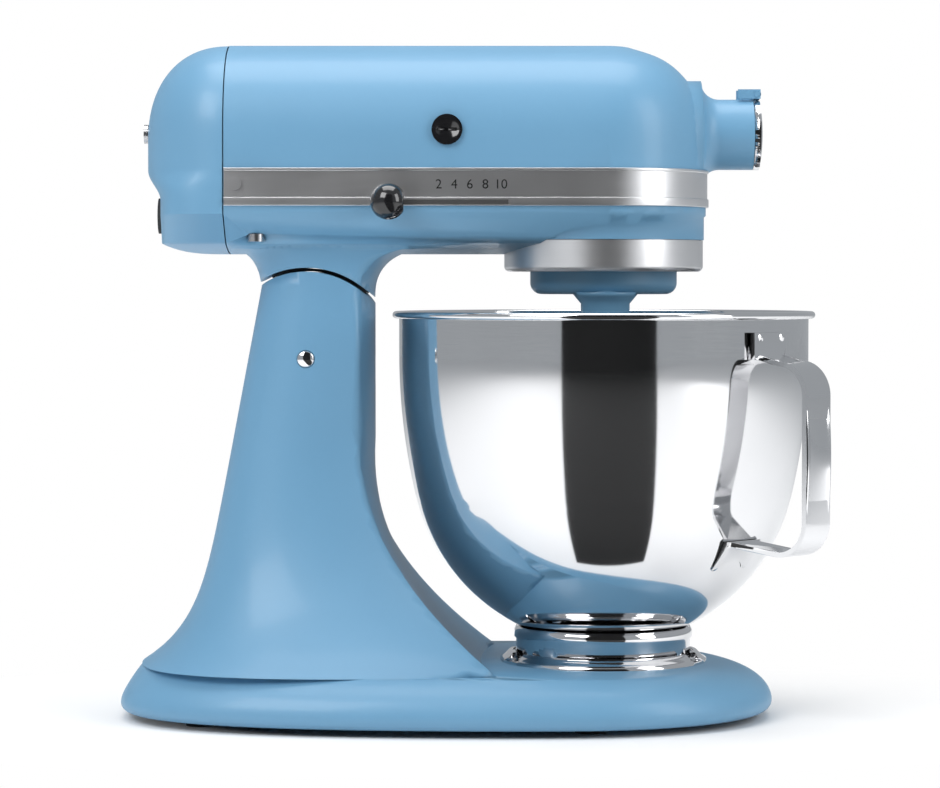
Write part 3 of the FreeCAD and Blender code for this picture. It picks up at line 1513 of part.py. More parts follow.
def make_handle():
    """Strap handle: a ribbon bent out from the bowl, with a tab welded on at each end."""
    out, thick = d.handle_reach, d.handle_thick
    top, low, corner = d.handle_top_z, d.handle_low_z, d.handle_corner
    skin = d.bowl_radius + d.clear_gap
    low_skin = d.bowl_knee_radius - 9
    ribbon = padded(
        "handle_ribbon",
        "XZ_Plane",
        [
            (skin, top),
            (out - corner, top - 3),
            (out, top - corner - 3, -corner),
            (out, low + corner),
            (out - corner, low, -corner),
            (low_skin, low + 4),
            (low_skin, low + 4 + thick),
            (out - corner, low + thick),
            (out - thick, low + corner, corner - thick),
            (out - thick, top - corner - 3),
            (out - corner, top - 3 - thick, corner - thick),
            (skin, top - thick),
        ],
        d.handle_width,
    )
    tab_high = 14
    upper = box("handle_tab", thick, d.handle_tab_width, tab_high, skin + thick / 2, 0, top - thick)
    slope = padded(
        "handle_low_tab",
        "XZ_Plane",
        [
            (low_skin, low + 4 + thick),
            (low_skin + thick + 1, low + 4 + thick),
            (low_skin + thick + 1, low + 4),
            (low_skin - 6.5, low - 9),
            (low_skin - 8.5, low - 7),
        ],
        d.handle_tab_width,
    )
    shell = cylinder("handle_relief", d.bowl_radius + d.clear_gap, 40, 0, 0, top - 12)
    ball = doc.addObject("Part::Sphere", "handle_ball")
    bind(ball, "Radius", d.bowl_ball_radius + d.clear_gap)
    place(ball, 0, 0, d.bowl_ball_z)
    strap = cut("handle_strap", fuse("handle_solid", ribbon, upper, slope), shell, ball)
    handle = node(strap, "bowl_handle")
    turn = FreeCAD.Rotation(UP, HANDLE_AZIMUTH)
    handle.Placement = FreeCAD.Placement(handle.Placement.Base, turn)


def make_clamp_plate():
    """Bowl clamp plate with entry notches, and the screws that hold it to the deck."""
    low = d.deck_z
    top = low + d.plate_thick + d.plate_rim_height
    lip = d.bowl_foot_radius + 1.2 + d.clear_gap * 2
    outer = d.plate_radius
    thick = d.plate_thick
    plate = turned(
        "plate_dish",
        [
            (0, low),
            (outer, low),
            (outer, low + thick),
            (outer - 2, low + thick + 1),
            (lip + 2, top),
            (lip, top),
            (lip, top - thick),
            (lip + 2.6, low + thick + 1),
            (lip + 2.6, low + thick),
            (0, low + thick),
        ],
    )
    notches = []
    for i, degrees in enumerate(NOTCH_ANGLES):
        notch = Part.makeBox(12, 13, 10, V(float(lip) - 2, -6.5, float(low + thick)))
        notch.rotate(V(0, 0, 0), UP, degrees)
        notches.append(solid("plate_notch_%d" % i, notch))
    holes = []
    screws = []
    for i in range(3):
        angle = math.radians(120 * i)
        x, y = 24 * math.cos(angle), 24 * math.sin(angle)
        holes.append(cylinder("plate_hole_%d" % i, 2.2, 10, x, y, low - 1))
        screws.append(cylinder("plate_screw_%d" % i, 2.15, thick, x, y, low))
    node(cut("clamp_plate", plate, *(notches + holes)), "clamp_plate")
    node(group("clamp_screws", *screws), "clamp_screws")


def check(pieces):
    """Stop at any object that failed, or any sub-part that isn't a sound solid."""
    doc.recompute()
    for obj in doc.Objects:
        if "Invalid" in obj.State or "Error" in obj.State:
            raise RuntimeError("%s failed: %s" % (obj.Label, obj.State))
    for obj in pieces:
        if obj.Shape.isNull() or not obj.Shape.isValid() or not obj.Shape.Solids:
            raise RuntimeError("%s isn't a sound solid" % obj.Label)


def main():
    """Build every sub-part and write one file for each."""
    make_base()
    make_column()
    make_clamp_plate()
    make_bowl()
    make_head()
    make_end_cover()
    make_band()
    make_speed_lever()
    make_hub()
    make_gearcase()
    make_beater(make_planetary())
    make_worm_drive()
    make_hub_drive()
    make_motor()
    check(NODES)
    os.makedirs("parts", exist_ok=True)
    for obj in NODES:
        obj.Shape.exportStep("parts/%s.step" % obj.Label)


main()
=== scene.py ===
"""Looks of a tilt-head stand mixer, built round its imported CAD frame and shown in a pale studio."""

from __future__ import annotations

import logging
import math
from dataclasses import dataclass, field
from enum import Enum

import bmesh
import bpy
import numpy as np
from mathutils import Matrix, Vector


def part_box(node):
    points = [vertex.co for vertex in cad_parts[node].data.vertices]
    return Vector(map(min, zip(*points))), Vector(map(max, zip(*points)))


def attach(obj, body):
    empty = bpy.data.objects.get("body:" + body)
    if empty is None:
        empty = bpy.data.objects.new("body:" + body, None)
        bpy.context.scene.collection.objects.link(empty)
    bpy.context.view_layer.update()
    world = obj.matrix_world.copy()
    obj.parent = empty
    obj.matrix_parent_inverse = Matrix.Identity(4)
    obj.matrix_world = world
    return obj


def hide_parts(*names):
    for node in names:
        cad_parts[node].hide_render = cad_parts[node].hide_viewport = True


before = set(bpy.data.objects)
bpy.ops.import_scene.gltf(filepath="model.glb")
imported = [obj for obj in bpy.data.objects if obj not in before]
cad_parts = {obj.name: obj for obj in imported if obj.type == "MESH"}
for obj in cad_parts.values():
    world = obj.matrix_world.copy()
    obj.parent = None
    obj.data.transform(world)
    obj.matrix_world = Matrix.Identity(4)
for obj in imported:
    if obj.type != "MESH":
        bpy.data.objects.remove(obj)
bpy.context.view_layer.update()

log = logging.getLogger("stand_mixer")

MM = 0.001
# radius at which a surface ends short of its axis, in millimetres
POLE = 0.01
# distances in metres at which points of a CAD mesh and of a new mesh are one
CAD_MERGE = 2e-6
NEW_MERGE = 1e-7
# the drawing's X = 0 is the bowl axis, and this is where it stands in the frame
BOWL_X = sum(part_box("bowl_foot")[i][0] for i in (0, 1)) / 2 / MM

Colour = tuple[float, float, float]


class Value:
    """One shader value, with arithmetic that adds math nodes."""

    def __init__(self, graph: Graph, socket: bpy.types.NodeSocket) -> None:
        """Keep a socket.

        Args:
            graph: the material's node graph.
            socket: the output that carries the value.
        """
        self.graph = graph
        self.socket = socket

    def _math(self, operation: str, first: object, second: object = 0.0) -> Value:
        """Join two values by a math node.

        Args:
            operation: the math node's operation.
            first: the first value or number.
            second: the second value or number.

        Returns:
            The node's result.
        """
        node = self.graph.node("ShaderNodeMath", operation=operation)
        for socket, value in zip(node.inputs, (first, second)):
            self.graph.feed(socket, value)
        return Value(self.graph, node.outputs[0])

    def __add__(self, other: object) -> Value:
        """Sum."""
        return self._math("ADD", self, other)

    def __radd__(self, other: object) -> Value:
        """Sum with a number in front."""
        return self._math("ADD", other, self)

    def __sub__(self, other: object) -> Value:
        """Difference."""
        return self._math("SUBTRACT", self, other)

    def __rsub__(self, other: object) -> Value:
        """Difference from a number."""
        return self._math("SUBTRACT", other, self)

    def __mul__(self, other: object) -> Value:
        """Product."""
        return self._math("MULTIPLY", self, other)

    def __rmul__(self, other: object) -> Value:
        """Product with a number in front."""
        return self._math("MULTIPLY", other, self)

    def __truediv__(self, other: object) -> Value:
        """Quotient."""
        return self._math("DIVIDE", self, other)

    def __rtruediv__(self, other: object) -> Value:
        """A number divided by the value."""
        return self._math("DIVIDE", other, self)

    def clamp(self) -> Value:
        """Hold the value between zero and one.

        Returns:
            The held value.
        """
        return self._math("MAXIMUM", self._math("MINIMUM", self, 1.0), 0.0)


class Graph:
    """A material's nodes, made one at a time."""

    def __init__(self, name: str) -> None:
        """Start an empty material.

        Args:
            name: the material's name.
        """
        self.material = bpy.data.materials.new(name)
        self.material.use_nodes = True
        self.tree = self.material.node_tree
        self.tree.nodes.clear()
        self.shader = self.node("ShaderNodeBsdfPrincipled")
        output = self.node("ShaderNodeOutputMaterial")
        self.tree.links.new(self.shader.outputs[0], output.inputs[0])
        self.place = self.node("ShaderNodeTexCoord").outputs["Object"]

    def node(self, kind: str, **settings: object) -> bpy.types.Node:
        """Add a node.

        Args:
            kind: the node's type name.
            settings: properties to set on it.

        Returns:
            The new node.
        """
        made = self.tree.nodes.new(kind)
        for word, value in settings.items():
            setattr(made, word, value)
        return made

    def feed(self, socket: bpy.types.NodeSocket, value: object) -> None:
        """Link a value to a socket, or set a number on it.

        Args:
            socket: the input to feed.
            value: a Value, a socket or a plain number.
        """
        if isinstance(value, Value):
            self.tree.links.new(value.socket, socket)
        elif isinstance(value, bpy.types.NodeSocket):
            self.tree.links.new(value, socket)
        else:
            socket.default_value = value

    def stretched(self, scale: tuple[float, float, float]) -> bpy.types.NodeSocket:
        """Object coordinates drawn out by a scale on each axis.

        Args:
            scale: how many times finer the pattern is along X, Y and Z.

        Returns:
            The scaled coordinates.
        """
        mapping = self.node("ShaderNodeMapping")
        mapping.inputs["Scale"].default_value = scale
        self.feed(mapping.inputs["Vector"], self.place)
        return mapping.outputs[0]

    def noise(self, scale: tuple[float, float, float], detail: float = 3.0) -> Value:
        """Soft noise between nought and one.

        Args:
            scale: waves to the metre along X, Y and Z.
            detail: how many finer layers it has.

        Returns:
            The noise value.
        """
        made = self.node("ShaderNodeTexNoise")
        made.inputs["Scale"].default_value = 1.0
        made.inputs["Detail"].default_value = detail
        self.feed(made.inputs["Vector"], self.stretched(scale))
        return Value(self, made.outputs[0])

    def mix(self, share: Value, low: Colour, high: Colour) -> Value:
        """A colour between two colours.

        Args:
            share: how much of the second colour.
            low: the first colour.
            high: the second colour.

        Returns:
            The mixed colour.
        """
        made = self.node("ShaderNodeMix", data_type="RGBA")
        self.feed(made.inputs[0], share)
        made.inputs[6].default_value = (*low, 1.0)
        made.inputs[7].default_value = (*high, 1.0)
        return Value(self, made.outputs[2])

    def bump(self, height: Value, depth: float, strength: float) -> None:
        """Let a height value tilt the shader's normal.

        Args:
            height: the height, between nought and one.
            depth: the full height in metres.
            strength: how much of it shows.
        """
        made = self.node("ShaderNodeBump")
        made.inputs["Strength"].default_value = strength
        made.inputs["Distance"].default_value = depth
        self.feed(made.inputs["Height"], height)
        self.feed(self.shader.inputs["Normal"], made.outputs[0])

    def constant(self, word: str, value: float) -> None:
        """Set a plain number on the shader.

        Args:
            word: the shader socket's name.
            value: the number.
        """
        self.shader.inputs[word].default_value = value


@dataclass(frozen=True)
class Finish:
    """A surface finish: two close colours, a roughness that varies, and a fine relief."""

    name: str
    low: Colour
    high: Colour
    roughness: float
    roughness_play: float
    metallic: float = 0.0
    coat: float = 0.0
    grain: tuple[float, float, float] = (900.0, 900.0, 900.0)
    mottle: float = 22.0
    relief: float = 0.00002
    relief_strength: float = 0.1

    def make(self) -> bpy.types.Material:
        """Build the material.

        Returns:
            The finished material.
        """
        graph = Graph(self.name)
        broad = graph.noise((self.mottle, self.mottle, self.mottle), 4.0)
        fine = graph.noise(self.grain, 2.0)
        share = (broad * 0.75 + fine * 0.25).clamp()
        graph.feed(graph.shader.inputs["Base Color"], graph.mix(share, self.low, self.high))
        worn = self.roughness + (broad - 0.5) * self.roughness_play + (fine - 0.5) * self.roughness_play
        graph.feed(graph.shader.inputs["Roughness"], worn.clamp())
        graph.constant("Metallic", self.metallic)
        graph.constant("Coat Weight", self.coat)
        graph.constant("Coat Roughness", 0.12)
        graph.bump(fine, self.relief, self.relief_strength)
        return graph.material


class Finishes(Enum):
    """Every finish of the mixer."""

    PAINT = Finish(
        "blue_paint", (0.125, 0.295, 0.46), (0.14, 0.32, 0.49), 0.46, 0.06, coat=0.12,
        grain=(420.0, 420.0, 420.0), relief=0.00003, relief_strength=0.06,
    )
    MIRROR_STEEL = Finish(
        "polished_steel", (0.72, 0.72, 0.73), (0.80, 0.80, 0.81), 0.07, 0.04, 1.0, grain=(60.0, 60.0, 2600.0),
        relief_strength=0.03,
    )
    BAND_STEEL = Finish(
        "band_steel", (0.68, 0.68, 0.69), (0.82, 0.82, 0.83), 0.36, 0.10, 1.0, grain=(30.0, 30.0, 5200.0),
        relief_strength=0.12,
    )
    BLACK_GLOSS = Finish("black_gloss", (0.006, 0.006, 0.007), (0.012, 0.012, 0.013), 0.12, 0.05, coat=0.4)
    RUBBER = Finish(
        "rubber", (0.02, 0.02, 0.02), (0.04, 0.04, 0.04), 0.75, 0.12, grain=(2200.0, 2200.0, 2200.0),
        relief_strength=0.3,
    )
    MACHINED = Finish(
        "machined_steel", (0.42, 0.42, 0.43), (0.58, 0.58, 0.59), 0.28, 0.10, 1.0,
        grain=(1400.0, 1400.0, 200.0),
    )
    ALUMINIUM = Finish(
        "cast_aluminium", (0.60, 0.60, 0.61), (0.70, 0.70, 0.71), 0.38, 0.10, 1.0,
        grain=(700.0, 700.0, 700.0), relief_strength=0.2,
    )
    BRONZE = Finish("bronze", (0.50, 0.32, 0.12), (0.64, 0.44, 0.18), 0.32, 0.10, 1.0)
    IRON = Finish(
        "core_iron", (0.12, 0.12, 0.13), (0.20, 0.20, 0.21), 0.50, 0.14, 0.8, grain=(4000.0, 60.0, 60.0)
    )
    PLASTIC = Finish("plain_plastic", (0.03, 0.03, 0.03), (0.06, 0.06, 0.06), 0.50, 0.10)
    BOARD = Finish("board", (0.02, 0.14, 0.06), (0.03, 0.19, 0.08), 0.42, 0.10)
    INK = Finish("numeral_ink", (0.006, 0.006, 0.007), (0.012, 0.012, 0.013), 0.5, 0.08)


class Palette:
    """Materials, each made once when it is first asked for."""

    def __init__(self) -> None:
        """Start with none."""
        self.made: dict[Finishes, bpy.types.Material] = {}

    def get(self, finish: Finishes) -> bpy.types.Material:
        """A finish's material.

        Args:
            finish: which finish.

        Returns:
            The material.
        """
        if finish not in self.made:
            self.made[finish] = finish.value.make()
        return self.made[finish]


class Surface:
    """A numpy surface on its way to becoming a mesh."""

    def __init__(self, points: np.ndarray, faces: np.ndarray) -> None:
        """Keep vertices and faces.

        Args:
            points: vertices in millimetres of the drawing, one row each.
            faces: four vertex numbers a row.
        """
        self.points = points
        self.faces = faces

    @classmethod
    def grid(cls, points: np.ndarray, closed: bool) -> Surface:
        """A sheet of quads on a grid: each quad joins a point to its next ones along both directions.

        Args:
            points: grid of points, rows by columns by three.
            closed: whether the last column joins the first.

        Returns:
            The surface.
        """
        rows, columns = points.shape[:2]
        number = np.arange(rows * columns).reshape(rows, columns)
        full = np.concatenate([number, number[:, :1]], axis=1) if closed else number
        quads = np.stack([full[:-1, :-1], full[1:, :-1], full[1:, 1:], full[:-1, 1:]], axis=-1)
        return cls(points.reshape(-1, 3), quads.reshape(-1, 4))

    @classmethod
    def lathe(cls, outline: np.ndarray, segments: int) -> Surface:
        """An outline turned about the bowl axis: x and y are radius times cosine and sine, z is height.

        Args:
            outline: radius and height, one row each.
            segments: steps round the axis.

        Returns:
            The surface.
        """
        angle = np.linspace(0, 2 * np.pi, segments, endpoint=False)
        radius, height = outline[:, :1], outline[:, 1:]
        points = np.stack(
            [radius * np.cos(angle), radius * np.sin(angle), np.repeat(height, segments, axis=1)], axis=-1
        )
        return cls.grid(points, True)

    @classmethod
    def sweep(cls, path: np.ndarray, across: np.ndarray, up: np.ndarray, section: np.ndarray) -> Surface:
        """A closed section carried along a path: each point is the path's point plus the section's first
        number times the across direction plus its second number times the up direction.

        Args:
            path: points of the path.
            across: unit direction across it at each point.
            up: unit direction away from it at each point.
            section: closed outline, two numbers a row.

        Returns:
            The surface, open at its ends.
        """
        points = (
            path[:, None, :]
            + section[None, :, :1] * across[:, None, :]
            + section[None, :, 1:] * up[:, None, :]
        )
        return cls.grid(points, True)

    def capped(self, columns: int) -> Surface:
        """Close a swept surface's two ends with fans of quads across them.

        Args:
            columns: how many points its section has, an even number.

        Returns:
            The closed surface.
        """
        last = len(self.points) - columns
        half = columns // 2
        step = np.arange(half - 1)
        near = np.stack([step, step + 1, columns - 2 - step, columns - 1 - step], axis=-1)
        far = near[:, ::-1] + last
        return Surface(self.points, np.concatenate([self.faces, near, far]))

    def turned(self, degrees: float) -> Surface:
        """The surface turned about the bowl axis.

        Args:
            degrees: how far, from X towards Y.

        Returns:
            The turned surface.
        """
        c, s = math.cos(math.radians(degrees)), math.sin(math.radians(degrees))
        matrix = np.array([[c, s, 0.0], [-s, c, 0.0], [0.0, 0.0, 1.0]])
        return Surface(self.points @ matrix, self.faces)

    def make(self, name: str, material: bpy.types.Material, sharp: float = 40.0) -> bpy.types.Object:
        """Build the mesh object, smooth except at sharp edges.

        Args:
            name: the object's name.
            material: its material.
            sharp: angle in degrees above which an edge stays crisp.

        Returns:
            The object, at the origin.
        """
        points = (self.points + np.array([BOWL_X, 0.0, 0.0])) * MM
        mesh = bpy.data.meshes.new(name)
        mesh.from_pydata(points.tolist(), [], self.faces.tolist())
        tidy = bmesh.new()
        tidy.from_mesh(mesh)
        bmesh.ops.remove_doubles(tidy, verts=tidy.verts, dist=NEW_MERGE)
        bmesh.ops.recalc_face_normals(tidy, faces=tidy.faces)
        tidy.to_mesh(mesh)
        tidy.free()
        mesh.shade_smooth()
        mesh.set_sharp_from_angle(angle=math.radians(sharp))
        mesh.materials.append(material)
        made = bpy.data.objects.new(name, mesh)
        bpy.context.scene.collection.objects.link(made)
        return made


def arc(centre: tuple[float, float], radius: float, start: float, end: float, steps: int) -> np.ndarray:
    """Points on an arc: the centre plus the radius times cosine and sine of evenly spread angles.

    Args:
        centre: the arc's centre.
        radius: its radius.
        start: first angle in degrees.
        end: last angle in degrees.
        steps: how many points.

    Returns:
        The points, one row each.
    """
    angle = np.radians(np.linspace(start, end, steps))
    return np.stack([centre[0] + radius * np.cos(angle), centre[1] + radius * np.sin(angle)], axis=-1)


@dataclass
class Assembly:
    """A group of CAD nodes that are dressed together."""

    palette: Palette
    body: str = "stand"

    def skin(self, node: str, finish: Finishes, sharp: float = 32.0) -> bpy.types.Object:
        """Stand a smoothly shaded copy in for a CAD node.

        Args:
            node: the CAD node's name.
            finish: its finish.
            sharp: angle in degrees above which an edge stays crisp.

        Returns:
            The copy.
        """
        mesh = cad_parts[node].data.copy()
        tidy = bmesh.new()
        tidy.from_mesh(mesh)
        bmesh.ops.remove_doubles(tidy, verts=tidy.verts, dist=CAD_MERGE)
        tidy.to_mesh(mesh)
        tidy.free()
        mesh.materials.clear()
        mesh.materials.append(self.palette.get(finish))
        mesh.shade_smooth()
        mesh.set_sharp_from_angle(angle=math.radians(sharp))
        made = bpy.data.objects.new(node + "_skin", mesh)
        bpy.context.scene.collection.objects.link(made)
        return self.fit(made, node)

    def fit(self, made: bpy.types.Object, *nodes: str) -> bpy.types.Object:
        """Let a piece move with the assembly's body and stand for CAD nodes.

        Args:
            made: the piece.
            nodes: the CAD nodes that it stands for, if any.

        Returns:
            The piece.
        """
        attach(made, self.body)
        if nodes:
            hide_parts(*nodes)
        log.info("made %s on %s", made.name, self.body)
        return made

    def dress(self, finish: Finishes, *nodes: str) -> None:
        """Give CAD nodes a finish.

        Args:
            finish: the finish.
            nodes: the nodes' names.
        """
        for node in nodes:
            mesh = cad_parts[node].data
            mesh.materials.clear()
            mesh.materials.append(self.palette.get(finish))
            log.info("dressed %s in %s", node, finish.value.name)


@dataclass
class Stand(Assembly):
    """Base, column, feet, hinge pin and clamp plate."""

    def build(self) -> None:
        """Dress every node of the stand."""
        self.skin("base_casting", Finishes.PAINT, 40.0)
        self.skin("column_casting", Finishes.PAINT, 40.0)
        self.skin("clamp_plate", Finishes.MIRROR_STEEL)
        self.skin("hinge_pin", Finishes.MIRROR_STEEL)
        self.dress(Finishes.RUBBER, "rubber_feet")
        self.dress(Finishes.MACHINED, "column_screws", "clamp_screws", "lock_bolt")
        self.dress(Finishes.BLACK_GLOSS, "lock_lever")


@dataclass
class Bowl(Assembly):
    """Bowl with a rolled rim, its foot ring and its strap handle."""

    body: str = "bowl"
    segments: int = 256
    wall: float = 1.0
    ball: float = 103.7
    ball_z: float = 141.4
    knee: tuple[float, float] = (100.9, 117.0)
    side: float = 110.2
    side_curve: float = 332.0
    straight_z: float = 195.0
    rim_z: float = 214.0
    bead: float = 1.9
    flat: float = 20.0
    azimuth: float = -42.0
    reach: float = 143.0
    strap_width: float = 21.0
    strap_thick: float = 2.6
    strap_hem: float = 1.3
    hem_steps: int = 11
    corner: float = 18.0
    rim_straight: float = 3.0
    full_wall_z: float = 65.0
    thin_wall_z: float = 35.0
    thin_wall: float = 0.35
    floor_rise_z: tuple[float, float] = (50.0, 110.0)
    strap_top: float = 196.0
    strap_low: float = 92.0
    strap_turn: float = 84.0
    strap_drop: float = 3.0
    strap_bow: float = 1.2
    upper_weld_gap: float = 1.6
    lower_weld: tuple[float, float] = (93.0, 3.6)
    dot_out: float = 2.9
    dot_side: float = 9.0
    dot_z: float = 205.0
    dot_radius: float = 2.2
    dot_height: float = 0.7

    def outline(self) -> np.ndarray:
        """The bowl's outline from its flat bottom up the outside, over the rolled rim and down the inside.

        Returns:
            Radius and height, one row each.
        """
        low = -math.degrees(math.acos(self.flat / self.ball))
        high = math.degrees(math.asin((self.knee[1] - self.ball_z) / self.ball))
        ball = arc((0.0, self.ball_z), self.ball, low, high, 64)
        rise = math.degrees(math.asin((self.straight_z - self.knee[1]) / self.side_curve))
        side = arc((self.side - self.side_curve, self.straight_z), self.side_curve, -rise, 0, 40)
        middle = (self.side + self.bead * 0.9, self.rim_z + self.bead)
        bead = arc(middle, self.bead, -150, 150, 28)
        outside = np.concatenate([ball, side[1:], [[self.side, self.rim_z - self.rim_straight]], bead])
        inside = outside[: len(ball) + len(side) - 1][::-1]
        level = inside[:, 1:]
        share = (level - self.thin_wall_z) / (self.full_wall_z - self.thin_wall_z)
        inner = inside - np.array([self.wall, 0.0]) * np.clip(share, self.thin_wall, 1.0)
        full, none = self.floor_rise_z
        inner[:, 1] += self.wall * np.clip((none - inside[:, 1]) / (none - full), 0.0, 1.0)
        bottom = np.array([[POLE, ball[0, 1]]])
        floor = np.array([[POLE, ball[0, 1] + self.wall]])
        return np.concatenate([bottom, outside, inner, floor])

    def strap_path(self) -> np.ndarray:
        """The handle's middle line out from the upper weld, round two bends and back to the lower weld.

        Returns:
            Radius and height, one row each.
        """
        half = self.strap_thick / 2
        out = self.reach - half
        bend = self.corner - half
        top, low = self.strap_top - half, self.strap_low + half
        upper = arc((out - bend, top - self.strap_drop - bend), bend, self.strap_turn, 0, 18)
        lower = arc((out - bend, low + bend), bend, 0, -self.strap_turn, 18)
        start = np.array([[self.side + self.upper_weld_gap, top]])
        end = np.array([[self.lower_weld[0], low + self.lower_weld[1]]])
        height = np.linspace(upper[-1, 1], lower[0, 1], 16)[1:-1]
        bow = self.strap_bow * np.sin(np.linspace(0, np.pi, len(height)))
        middle = np.stack([out + bow, height], axis=-1)
        return np.concatenate([start, upper, middle, lower, end])

    def strap(self) -> Surface:
        """The strap: a thin ribbon with a rounded hem along each edge, carried along its middle line.

        Returns:
            The strap's surface.
        """
        line = self.strap_path()
        step = np.gradient(line, axis=0)
        step /= np.linalg.norm(step, axis=1, keepdims=True)
        path = np.stack([line[:, 0], np.zeros(len(line)), line[:, 1]], axis=-1)
        up = np.stack([-step[:, 1], np.zeros(len(line)), step[:, 0]], axis=-1)
        across = np.tile([0.0, 1.0, 0.0], (len(line), 1))
        half = self.strap_width / 2 - self.strap_hem
        right = arc((half, 0.0), self.strap_hem, -140, 140, self.hem_steps)
        left = arc((-half, 0.0), self.strap_hem, 40, 320, self.hem_steps)
        return Surface.sweep(path, across, up, np.concatenate([right, left])).capped(2 * self.hem_steps)

    def dot(self, side: float) -> Surface:
        """A weld dot of the handle's upper tab: a low dome whose height falls off as a cosine.

        Args:
            side: how far it is to one side of the handle's middle.

        Returns:
            The dot's surface.
        """
        radius = np.linspace(POLE, self.dot_radius, 9)
        dome = self.dot_height * np.cos(np.linspace(0, np.pi / 2, 9))
        made = Surface.lathe(np.stack([radius, dome], axis=-1), 24)
        made.points = made.points[:, [2, 0, 1]] + np.array([self.side + self.dot_out, side, self.dot_z])
        return made.turned(self.azimuth)

    def build(self) -> None:
        """Build the bowl, the strap and the weld dots."""
        steel = self.palette.get(Finishes.MIRROR_STEEL)
        shell = Surface.lathe(self.outline(), self.segments).make("bowl_shell", steel, 50.0)
        self.fit(shell, "bowl")
        self.skin("bowl_foot", Finishes.MIRROR_STEEL)
        self.skin("bowl_handle", Finishes.MIRROR_STEEL)
        strap = self.strap().turned(self.azimuth).make("handle_hem", steel)
        self.fit(strap)
        for i, side in enumerate((-self.dot_side, self.dot_side)):
            self.fit(self.dot(side).make("weld_dot_%d" % i, steel))


